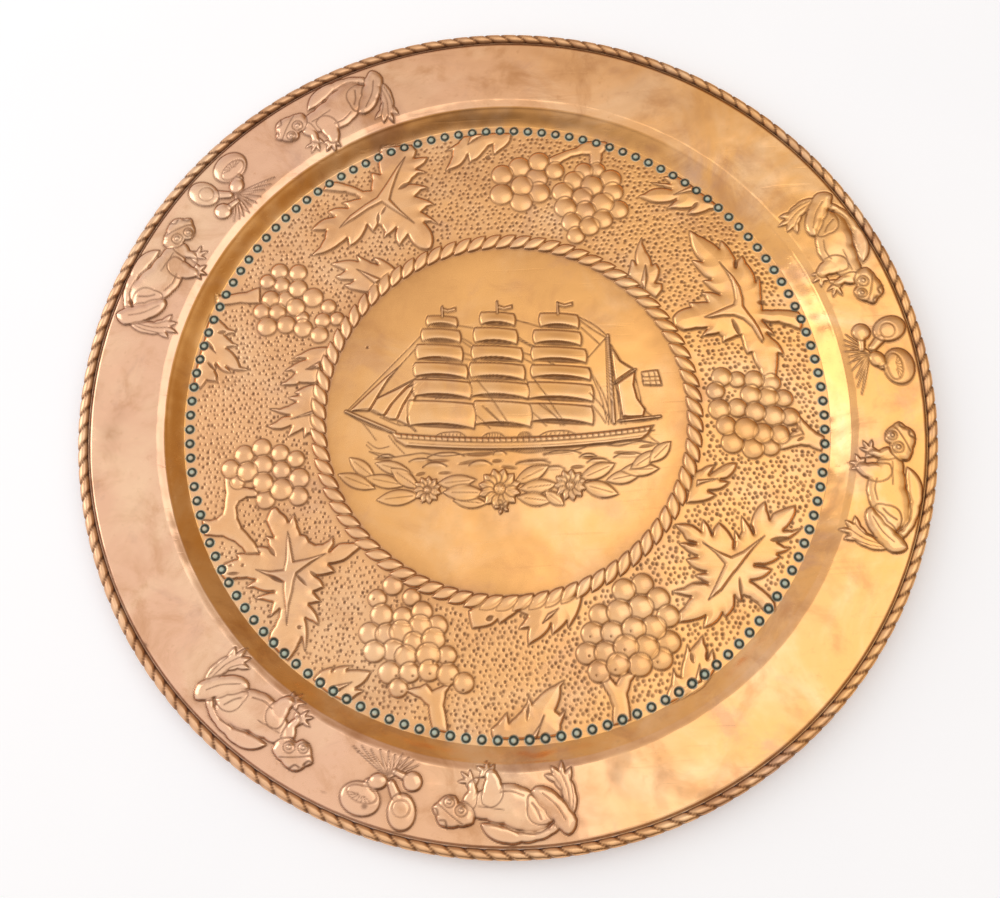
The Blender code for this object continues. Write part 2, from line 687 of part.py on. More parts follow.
def ringCorners(corners, radius, count, height, start=0.0):
    """Adds a ring of corners and returns their numbers. The height is a function of radius and angle."""
    first = len(corners)
    for i in range(count):
        a = (2 * math.pi * i / count + start) % (2 * math.pi)
        corners.append((radius * math.cos(a) * mm, radius * math.sin(a) * mm, float(height(radius, a)) * mm))
    return sorted(range(first, len(corners)), key=lambda i: angleOf(corners[i]))


def buildCharger():
    corners, faces = facetedNet(rimRadii(), rimTriangles)
    wellCorners, wellFaces = facetedNet(wellRadii(), wellTriangles)
    border, lip = openEdges(corners, faces, (chargerRadius + rimInnerRadius) / 2)
    foot = openEdges(wellCorners, wellFaces, wellRadius / 2)[0]
    foot = [i + len(corners) for i in foot]
    faces += [tuple(i + len(corners) for i in face) for face in wellFaces]
    corners += wellCorners
    outside = lip
    rings = [(wellRadius + share * wallWidth, dishSegments) for share in wallRows]
    rings += [(beadRingRadius + beadRadius, beadCount), (beadRingRadius, 2 * beadCount)]
    for radius, count in rings:
        ring = ringCorners(corners, radius, count, bareTop)
        faces += laced(corners, outside, ring)
        outside = ring
    faces += laced(corners, outside, foot)
    centreR, centreZ = rollCentre()
    rim = ringCorners(corners, chargerRadius, edgeTwists, edgeTop)
    outside = rim
    for across in (0.5, -0.4):
        lean = edgeCutLean / chargerRadius * across / 2
        ring = ringCorners(corners, centreR + across * rollRadius, 2 * edgeTwists, edgeTop, lean)
        faces += laced(corners, outside, ring)
        outside = ring
    faces += laced(corners, outside, border)
    outside = rim
    rows = [(centreR, edgeTwists // 2), (chargerRadius - 2 * rollRadius, edgeTwists // 2)]
    for share in wallRows:
        rows.append((wellRadius + wallShift() + share * wallWidth, dishSegments))
    for radius, count in rows:
        ring = ringCorners(corners, radius, count, backHeight)
        faces += [(a, c, b) for a, b, c in laced(corners, outside, ring)]
        outside = ring
    faces.append(tuple(reversed(outside)))
    mesh = bpy.data.meshes.new("charger")
    mesh.from_pydata(corners, [], faces)
    mesh.update()
    body = bpy.data.objects.new("charger", mesh)
    bpy.context.scene.collection.objects.link(body)
    mesh.materials.append(copper())
    mesh.shade_smooth()
    mesh.set_sharp_from_angle(angle=math.radians(30))
    return body


def copper():
    material = bpy.data.materials.new("chased_copper")
    material.use_nodes = True
    shader = material.node_tree.nodes["Principled BSDF"]
    shader.inputs["Base Color"].default_value = (0.78, 0.44, 0.25, 1.0)
    shader.inputs["Metallic"].default_value = 1.0
    shader.inputs["Roughness"].default_value = 0.32
    return material


clearScene()
charger = buildCharger()
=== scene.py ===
import math

import bpy
import numpy as np
from mathutils import Matrix, Vector


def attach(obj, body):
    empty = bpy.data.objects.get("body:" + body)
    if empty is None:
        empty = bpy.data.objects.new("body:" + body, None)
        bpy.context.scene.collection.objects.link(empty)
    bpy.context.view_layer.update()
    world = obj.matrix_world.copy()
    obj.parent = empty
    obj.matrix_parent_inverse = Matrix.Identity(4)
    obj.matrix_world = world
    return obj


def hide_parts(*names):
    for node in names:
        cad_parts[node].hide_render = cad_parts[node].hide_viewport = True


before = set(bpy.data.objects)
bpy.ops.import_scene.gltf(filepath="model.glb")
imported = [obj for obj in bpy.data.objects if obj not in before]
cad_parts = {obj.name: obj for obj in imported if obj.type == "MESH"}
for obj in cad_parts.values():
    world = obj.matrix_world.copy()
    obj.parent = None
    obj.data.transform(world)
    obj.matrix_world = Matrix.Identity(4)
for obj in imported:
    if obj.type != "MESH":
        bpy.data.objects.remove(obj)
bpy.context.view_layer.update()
print("frame loaded")

mm = 0.001

dish = {
    "radius": 300.0,
    "sheet": 1.2,
    "rimInner": 238.0,
    "wallWidth": 9.0,
    "wallFoot": 0.6,  # how far the worked wall reaches past the solid's, so that it lies a little flatter
    "wallHead": 2.4,
    "wallRound": 0.25,
    "wallShare": 0.8,  # the rest of the rise is the soft shoulder at the wall's head
    "shoulder": 8.0,
    "shoulderReach": 6.0,
    "rimHeight": 12.0,
    "rimRise": 1.6,
    "roll": 3.6,
    "rollStand": 2.0,
    "groove": 0.9,
    "grooveWidth": 2.6,
}
wellRadius = dish["rimInner"] - dish["wallWidth"]
rimOuter = dish["radius"] - 2 * dish["roll"]
rimMiddle = (dish["rimInner"] + rimOuter) / 2


def smooth(t):
    t = np.clip(t, 0.0, 1.0)
    return t * t * (3.0 - 2.0 * t)


wallSpan = dish["wallFoot"] + dish["wallWidth"] + dish["wallHead"]
wallTop = dish["rimInner"] + dish["wallHead"]
shoulderTop = wallTop + dish["shoulderReach"]


def wallShift():  # the back of the cavetto lies this far out, so that the wall keeps the sheet's thickness
    steepest = (1.0 + 0.5 * dish["wallRound"]) * dish["wallShare"] * dish["rimHeight"] / wallSpan
    return dish["sheet"] * (math.hypot(1.0, steepest) - 1.0) / steepest


def dishTop(r, shift=0.0):  # height of the dish without its figures at a radius
    across = (r - shift - wellRadius + dish["wallFoot"]) / wallSpan
    wall = dish["wallRound"] * smooth(across) + (1.0 - dish["wallRound"]) * np.clip(across, 0.0, 1.0)
    rise = np.clip((r - dish["rimInner"]) / (rimOuter - dish["rimInner"]), 0.0, 1.0)
    dip = smooth((r - rimOuter) / dish["grooveWidth"] + 1.0)
    shoulder = smooth((r - shift - shoulderTop) / dish["shoulder"] + 1.0)
    wall = dish["wallShare"] * wall + (1.0 - dish["wallShare"]) * shoulder
    return dish["sheet"] + dish["rimHeight"] * wall + dish["rimRise"] * rise - dish["groove"] * dip


# The face is worked in layers on a fine square net of samples, as a chaser works a sheet

net = {"cell": 0.35, "reach": 294.0}
samples = int(2 * net["reach"] / net["cell"]) + 1
marks = np.linspace(-net["reach"], net["reach"], samples)
layer = {name: np.zeros((samples, samples), np.float32) for name in ("rise", "sink", "ink", "shape", "green")}


def window(x, y, spanX, spanY):  # the samples round a point
    low = [int((v + net["reach"]) / net["cell"]) for v in (x - spanX, y - spanY)]
    high = [int((v + net["reach"]) / net["cell"]) + 2 for v in (x + spanX, y + spanY)]
    cut = (slice(max(low[1], 0), max(high[1], 0)), slice(max(low[0], 0), max(high[0], 0)))
    return cut, marks[cut[1]][None, :], marks[cut[0]][:, None]


def sampled(values, x, y):  # a layer read at any point
    u = np.clip((x + net["reach"]) / net["cell"], 0, samples - 1.001)
    v = np.clip((y + net["reach"]) / net["cell"], 0, samples - 1.001)
    i, j = u.astype(int), v.astype(int)
    u, v = u - i, v - j
    near = values[j, i] * (1 - u) + values[j, i + 1] * u
    far = values[j + 1, i] * (1 - u) + values[j + 1, i + 1] * u
    return near * (1 - v) + far * v


def blurred(values, width):  # three running means come close to a bell curve
    half = max(1, int(round(width / net["cell"])))
    out = values.astype(np.float64)
    for axis in (0, 1) * 3:
        pads = [(half + 1, half) if k == axis else (0, 0) for k in (0, 1)]
        total = np.cumsum(np.pad(out, pads, mode="edge"), axis=axis)
        ends = [slice(None), slice(None)]
        starts = [slice(None), slice(None)]
        ends[axis] = slice(2 * half + 1, None)
        starts[axis] = slice(None, -(2 * half + 1))
        out = (total[tuple(ends)] - total[tuple(starts)]) / (2 * half + 1)
    return out.astype(np.float32)


chasing = {
    "edgeWidth": 0.45,  # half width of the line chased round a raised form
    "edgeDepth": 0.35,
    "edgeInk": 1.0,  # how much patina the line holds
    "lineWidth": 0.5,
    "lineDepth": 0.3,
    "lineInk": 1.0,
}


def press(cut, inside, height, edge=1.0):  # raises a form; inside is the distance in from its outline
    within = smooth(inside / 0.5 + 0.5)
    for name in ("ink", "sink"):
        layer[name][cut] *= 1.0 - within
    layer["rise"][cut] = np.maximum(layer["rise"][cut], np.where(inside > 0, height, 0.0))
    layer["shape"][cut] = np.maximum(layer["shape"][cut], within)
    line = edge * np.exp(-((inside / chasing["edgeWidth"]) ** 2))
    layer["ink"][cut] = np.maximum(layer["ink"][cut], line * chasing["edgeInk"])
    layer["sink"][cut] = np.maximum(layer["sink"][cut], line * chasing["edgeDepth"])


def chase(points, width=1.0, depth=1.0, ink=1.0):  # a line struck along the points
    half = chasing["lineWidth"] * width
    for (x0, y0), (x1, y1) in zip(points, points[1:]):
        span = 3 * half + 0.5
        cut, xs, ys = window((x0 + x1) / 2, (y0 + y1) / 2, abs(x1 - x0) / 2 + span, abs(y1 - y0) / 2 + span)
        run = max((x1 - x0) ** 2 + (y1 - y0) ** 2, 1e-9)
        t = np.clip(((xs - x0) * (x1 - x0) + (ys - y0) * (y1 - y0)) / run, 0, 1)
        away = (xs - x0 - t * (x1 - x0)) ** 2 + (ys - y0 - t * (y1 - y0)) ** 2
        line = np.exp(-away / half**2)
        layer["ink"][cut] = np.maximum(layer["ink"][cut], line * chasing["lineInk"] * ink)
        layer["sink"][cut] = np.maximum(layer["sink"][cut], line * chasing["lineDepth"] * depth)


def pit(x, y, radius, depth, ink, lip=0.12):  # one blow of a round punch, with the lip it throws up
    cut, xs, ys = window(x, y, radius * 2.4, radius * 2.4)
    away = np.hypot(xs - x, ys - y) / radius
    hole = smooth(1.35 - away)
    layer["sink"][cut] = np.maximum(layer["sink"][cut], hole * depth)
    layer["ink"][cut] = np.maximum(layer["ink"][cut], hole * ink)
    layer["rise"][cut] += lip * np.exp(-(((away - 1.5) / 0.45) ** 2)).astype(np.float32)


def curve(points, steps=5):  # a smooth path through a few points
    path = [points[0], *points, points[-1]]
    out = []
    for a, b, c, d in zip(path, path[1:], path[2:], path[3:]):
        for k in range(steps):
            t = k / steps
            out.append(tuple(
                0.5 * (2 * q + (r - p) * t + (2 * p - 5 * q + 4 * r - s) * t * t + (3 * q - p - 3 * r + s) * t**3)
                for p, q, r, s in zip(a, b, c, d)
            ))
    return out + [points[-1]]


def bowed(corners, bow):  # a closed outline whose sides swell out between its corners
    corners, out = list(corners), []
    around = sum(x0 * y1 - x1 * y0 for (x0, y0), (x1, y1) in zip(corners, corners[1:] + corners[:1]))
    bow = math.copysign(bow, bow * around)
    for (x0, y0), (x1, y1) in zip(corners, corners[1:] + corners[:1]):
        for k in range(6):
            t = k / 6
            push = 4 * bow * t * (1 - t)
            out.append((x0 + (x1 - x0) * t + (y1 - y0) * push, y0 + (y1 - y0) * t - (x1 - x0) * push))
    return out


def insideOf(outline, margin=2.5):  # the samples round an outline and their distance in from it
    xy = np.array(outline)
    low, high = xy.min(0), xy.max(0)
    mid, span = (low + high) / 2, (high - low) / 2 + margin
    cut, xs, ys = window(mid[0], mid[1], span[0], span[1])
    best = np.full((ys.shape[0], xs.shape[1]), 1e9)
    odd = np.zeros(best.shape, bool)
    for (x0, y0), (x1, y1) in zip(outline, outline[1:] + outline[:1]):
        dx, dy = x1 - x0, y1 - y0
        t = np.clip(((xs - x0) * dx + (ys - y0) * dy) / (dx * dx + dy * dy + 1e-9), 0, 1)
        best = np.minimum(best, (xs - x0 - t * dx) ** 2 + (ys - y0 - t * dy) ** 2)
        if dy:
            odd ^= ((y0 > ys) != (y1 > ys)) & (xs < x0 + (ys - y0) * dx / dy)
    return cut, xs, ys, np.where(odd, 1.0, -1.0) * np.sqrt(best)


# Places: the flat of the well, and the bent strip of the rim

class Flat:
    def inside(self, x, y):
        return x, y

    def outside(self, s, n):
        return s, n


class Bent:  # s runs along the rim from the given angle, n runs in towards the well
    def __init__(self, degrees, way, inward=0.0):
        self.angle = math.radians(degrees)
        self.way = way
        self.middle = rimMiddle - inward

    def inside(self, x, y):
        turn = np.arctan2(y, x) - self.angle
        turn = (turn + math.pi) % (2 * math.pi) - math.pi
        return self.way * turn * self.middle, self.middle - np.hypot(x, y)

    def outside(self, s, n):
        turn = self.angle + self.way * s / self.middle
        return (self.middle - n) * math.cos(turn), (self.middle - n) * math.sin(turn)


flat = Flat()


def dome(place, x, y, rx, ry, turn, height, edge=1.0, power=0.5):  # a round boss, such as a grape
    turn = math.radians(turn)
    at = place.outside(x, y)
    reach = max(rx, ry) * 1.15 + 2
    cut, xs, ys = window(*at, reach, reach)
    s, n = place.inside(xs, ys)
    s, n = s - x, n - y
    u = (s * math.cos(turn) + n * math.sin(turn)) / rx
    v = (n * math.cos(turn) - s * math.sin(turn)) / ry
    away = np.hypot(u, v)
    press(cut, (1 - away) * min(rx, ry), height * np.clip(1 - away * away, 0, 1) ** power, edge)


def limb(place, x0, y0, x1, y1, r0, r1, height, edge=1.0):  # a round bar that tapers from end to end
    ends = [place.outside(x0, y0), place.outside(x1, y1)]
    span = [abs(ends[0][k] - ends[1][k]) / 2 + max(r0, r1) * 1.2 + 3 for k in (0, 1)]
    cut, xs, ys = window((ends[0][0] + ends[1][0]) / 2, (ends[0][1] + ends[1][1]) / 2, *span)
    s, n = place.inside(xs, ys)
    run = math.hypot(x1 - x0, y1 - y0)
    ux, uy = (x1 - x0) / run, (y1 - y0) / run
    along = np.clip((s - x0) * ux + (n - y0) * uy, 0, run)
    away = np.hypot(s - x0 - along * ux, n - y0 - along * uy)
    radius = r0 + (r1 - r0) * along / run
    press(cut, radius - away, height * np.sqrt(np.clip(1 - (away / radius) ** 2, 0, 1)), edge)


def lens(x, y, length, half, turn, height, edge=1.0, vein=0.0):  # a pointed form, such as a leaf or a strand
    turn = math.radians(turn)
    cut, xs, ys = window(x, y, length / 2 + 2, length / 2 + 2)
    u = ((xs - x) * math.cos(turn) + (ys - y) * math.sin(turn)) / (length / 2)
    v = (ys - y) * math.cos(turn) - (xs - x) * math.sin(turn)
    width = half * (1 - u * u)
    inside = np.minimum(width - np.abs(v), (1 - np.abs(u)) * half * 2)
    full = np.sqrt(np.clip(1 - (v / np.maximum(width, 0.05)) ** 2, 0, 1)) * (0.5 + 0.5 * (1 - u * u))
    press(cut, inside, height * full, edge)
    if vein:
        c, s = math.cos(turn), math.sin(turn)
        ends = [(x + c * length * t, y + s * length * t) for t in (-0.3, 0.32)]
        chase(ends, 0.7, vein, vein)


def dent(x, y, length, half, turn, ink=0.75):  # a dark hollow shaped like a lens
    turn = math.radians(turn)
    cut, xs, ys = window(x, y, length / 2 + 2, length / 2 + 2)
    u = ((xs - x) * math.cos(turn) + (ys - y) * math.sin(turn)) / (length / 2)
    v = (ys - y) * math.cos(turn) - (xs - x) * math.sin(turn)
    within = smooth((half * np.clip(1 - u * u, 0, 1) - np.abs(v)) / 0.6 + 0.5) * (np.abs(u) < 1)
    layer["ink"][cut] = np.maximum(layer["ink"][cut], within * ink)
    layer["sink"][cut] = np.maximum(layer["sink"][cut], within * 0.7)


def panel(corners, height, bow=0.0):  # a flat form with a soft edge
    cut, xs, ys, inside = insideOf(bowed(corners, bow) if bow else list(corners))
    press(cut, inside, height * smooth(inside / 1.2))


def strip(place, points, **how):  # a chased line given in the strip's own coordinates
    chase([place.outside(*p) for p in curve(points)], **how)


# Frieze of vines

frieze = {"leaf": 0.9, "leafSwell": 1.5, "rib": 0.9, "grape": 2.0, "grapeGirth": 1.07, "stem": 1.5}

# Vine leaves: the outline, then the star of ribs that stands up from its middle
vineLeaves = (
    (((-93.5, 180.5), (-92.6, 189), (-93.3, 195.5), (-86.3, 193.5), (-87.7, 206), (-85, 215), (-62, 217),
      (-58, 212), (-60, 206), (-49.5, 206), (-52.5, 200.5), (-58.5, 196.4), (-51, 193.5), (-58, 192),
      (-62, 188.5), (-64.5, 184.6), (-60, 184.2), (-54, 182.6), (-50, 180.5), (-56, 178), (-60, 174),
      (-55, 172), (-50, 169.8), (-46, 166.5), (-52, 164.4), (-55.6, 161), (-52, 158.4), (-47.5, 154.5),
      (-44, 150.5), (-49, 152.5), (-53.8, 152.2), (-51, 148.5), (-48.5, 144), (-47.6, 138), (-48.6, 133),
      (-50.2, 130.4), (-53, 129.7), (-58, 131.2), (-63, 135.5), (-66.5, 142.5), (-69.5, 138.5), (-73, 134),
      (-75.6, 139), (-76.2, 144), (-75, 148.7), (-79, 144.6), (-84.5, 141.4), (-84, 146.5), (-86.2, 151),
      (-88.3, 152.3), (-92.2, 146.2), (-96.4, 152), (-98.8, 146), (-102, 141), (-106.5, 136.8),
      (-110.2, 135.4), (-111.5, 142), (-117, 137.4), (-125, 132.4), (-131, 130.2), (-138.2, 129.8),
      (-132, 136.5), (-128.6, 143), (-127.5, 149.2), (-133, 149.3), (-138.3, 150.4), (-134, 155.5),
      (-129, 159), (-121, 160.2), (-124, 162.2), (-126, 165), (-120, 167.6), (-111, 167), (-113, 170),
      (-115.6, 171.4), (-109, 173), (-101.8, 174.4), (-105, 177), (-112, 179.6), (-120, 180.6),
      (-129, 182.5), (-127, 188), (-119, 189), (-112, 186.6), (-106.5, 184.6), (-102, 182), (-99, 180.3)),
     ((-67, 206.5), (-73, 192), (-77, 180), (-78.4, 174.6), (-79, 171.4), (-72, 162.5), (-61.5, 151.5),
      (-72, 159.2), (-81, 166), (-85, 169.4), (-95, 164.2), (-106, 156.6), (-117, 150.5), (-109, 159.8),
      (-98, 168), (-89, 173.6), (-82, 184), (-74, 197))),
    (((141.5, 136.5), (148, 132), (155, 127.5), (160, 123.5), (162.5, 120.3), (163, 124), (164.5, 127.2),
      (168.5, 122.5), (171.3, 117), (173.6, 111.5), (173, 105.3), (175, 110.6), (179, 114.6), (181, 108.5),
      (184.6, 102.6), (186.2, 98), (186.5, 93), (189.4, 97), (190, 90), (189.6, 84), (189.2, 77),
      (189.4, 71), (196, 70.6), (204, 70.4), (215, 68.4), (218, 62), (215, 54), (208, 57.4), (200, 60.4),
      (193, 60.6), (188.6, 62.4), (192, 58), (195, 53.6), (196, 51), (190.8, 52.6), (194, 49), (198, 45),
      (200.4, 40), (201, 36), (197, 36.6), (196.4, 31), (195, 24), (193, 17), (184, 18), (182.6, 26),
      (180, 31), (178.6, 38.2), (175, 37.8), (173.4, 42), (172.8, 47), (172, 51.8), (168, 51), (163, 48.8),
      (158.3, 47.6), (158.4, 51.5), (156, 54), (150, 53), (144, 53.1), (147.8, 58.6), (140, 58.6),
      (131, 57.5), (124.5, 62), (124, 68.5), (127, 72), (131, 74.2), (137.6, 75.8), (136.6, 79.3),
      (143, 79.2), (150, 79.2), (148.6, 83.5), (146, 86.6), (153, 86.8), (159.4, 84.4), (154, 88.4),
      (150.5, 92.5), (148.2, 95.8), (154.2, 96.4), (150, 99.2), (145.4, 105), (141.4, 112.5), (149, 110.8),
      (145.4, 115), (143, 121), (141.6, 130)),
     ((161, 109.5), (165, 103.6), (170, 97.6), (174.2, 89), (175.6, 80), (175.4, 74), (178.4, 68.6),
      (182, 63), (185.2, 56), (187.6, 48.5), (186, 45.5), (183.6, 50), (180, 57.6), (174.4, 63.6),
      (168, 66.6), (160, 66.9), (152, 65.8), (146.5, 66.8), (152, 69.2), (160, 72.4), (168.4, 75.6),
      (169.6, 79), (169.5, 86), (168.6, 93), (166, 100))),
    (((113, -84.4), (120, -84), (125, -85.2), (130.8, -90), (131.4, -85.4), (132.8, -81.8), (136.2, -86),
      (138.2, -93), (140, -88), (143.6, -84.2), (148, -88.6), (151.4, -94.4), (153.3, -99), (152.2, -102.6),
      (153.4, -96), (154, -90.4), (156.8, -95.2), (158.9, -91), (159.6, -80.6), (163, -85.2),
      (166.6, -93.4), (165.6, -86.8), (168, -80), (171.6, -74.8), (177, -70.8), (177.6, -77), (179, -83.8),
      (181.4, -80), (188, -77.2), (197.6, -74.6), (197.2, -80), (194, -85.4), (190.6, -89.6),
      (187.6, -91.8), (193.4, -92.4), (200, -91), (195, -95.4), (189.6, -98.8), (182.6, -100.2),
      (187, -103.4), (191.6, -104.2), (187.6, -107), (181.6, -108.6), (183.8, -110.2), (178.6, -113.8),
      (172, -115.6), (165.2, -115.4), (171.6, -116.8), (177, -118.6), (174, -122), (169, -124.8),
      (161.4, -126), (167, -130.4), (171.6, -134.6), (176.4, -141), (176, -147), (169, -147.4),
      (164.6, -141.6), (160, -137.8), (155.4, -136), (153.3, -140), (149.6, -136), (148.8, -143),
      (145.4, -147.6), (142, -150), (140.2, -147.4), (137, -152), (132, -155.4), (126.4, -156.6),
      (128.6, -148.8), (122, -151.2), (110.4, -152.4), (110.6, -145.4), (114.4, -142.2), (117, -138.6),
      (120, -135.4), (114, -134), (107, -130.8), (115.6, -128.6), (121.6, -125.6), (127, -124.8),
      (132.2, -126.6), (128, -124), (123.8, -120.4), (131.6, -118.8), (126, -117), (122, -114),
      (118.8, -109.2), (126.6, -107.6), (122, -105), (118.2, -101.4), (114.8, -98), (120, -97.4),
      (126.6, -98.6), (120.2, -95.8), (118, -91)),
     ((130.6, -98), (139, -104), (149.4, -109), (158, -105.6), (173.6, -95.4), (165, -104), (152.4, -118.4),
      (150, -120.6), (140.4, -132), (131, -138), (137, -128), (141.4, -120), (144.8, -114), (139, -106))),
    (((-167, -60), (-170.6, -68.5), (-168.4, -74), (-165.2, -80.6), (-171, -79.5), (-169.2, -83),
      (-168.6, -87.6), (-173, -86.4), (-181, -87), (-177.6, -89), (-175, -91.6), (-180, -91), (-191, -91),
      (-190, -94.5), (-199, -97.5), (-203, -103), (-197, -110), (-190, -108.6), (-183, -108.6),
      (-177.6, -110), (-181, -112), (-184, -115), (-178, -115.6), (-171, -118.4), (-164.4, -118.8),
      (-170, -119.6), (-178, -122.6), (-172, -124), (-165.4, -126), (-166.6, -131), (-167.4, -136),
      (-163, -133.2), (-160.6, -131), (-161.4, -136), (-164, -141.6), (-167.4, -146.6), (-168, -152),
      (-155, -166), (-150, -160.6), (-147.4, -155.4), (-145.4, -151), (-144.6, -155.6), (-143.4, -160.4),
      (-141.8, -152), (-141.6, -144), (-142.8, -138), (-138, -140.4), (-134, -143), (-133.8, -139),
      (-136, -133.6), (-140.4, -128.4), (-136, -127.8), (-132, -127), (-134.8, -123), (-137.2, -120),
      (-133, -118.6), (-130, -117.4), (-131.4, -113), (-135, -109.2), (-128, -108.6), (-122.4, -107),
      (-124, -104), (-126.6, -101.4), (-121, -100.8), (-116, -99.4), (-110, -95), (-104, -90), (-106, -87),
      (-112, -86.8), (-120, -87), (-126, -92.2), (-122.8, -87), (-123.8, -81.4), (-127, -84.6),
      (-131, -86.8), (-136, -87), (-140, -84.6), (-142, -80.4), (-146, -79.4), (-148, -74), (-149.6, -68),
      (-150.6, -64), (-152.6, -66.6), (-154.6, -70.2), (-156, -66.6), (-160, -63), (-163.4, -59)),
     ((-155, -77), (-153, -85), (-150.6, -98.6), (-141, -97), (-129, -94), (-137, -99), (-148.6, -107),
      (-150.4, -112.6), (-151.6, -120), (-154, -129), (-155.6, -142), (-157, -127), (-158, -119),
      (-157.8, -112.6), (-166, -108.8), (-177, -103), (-167, -104.6), (-157.6, -104), (-156.2, -97),
      (-155.8, -86))),
)

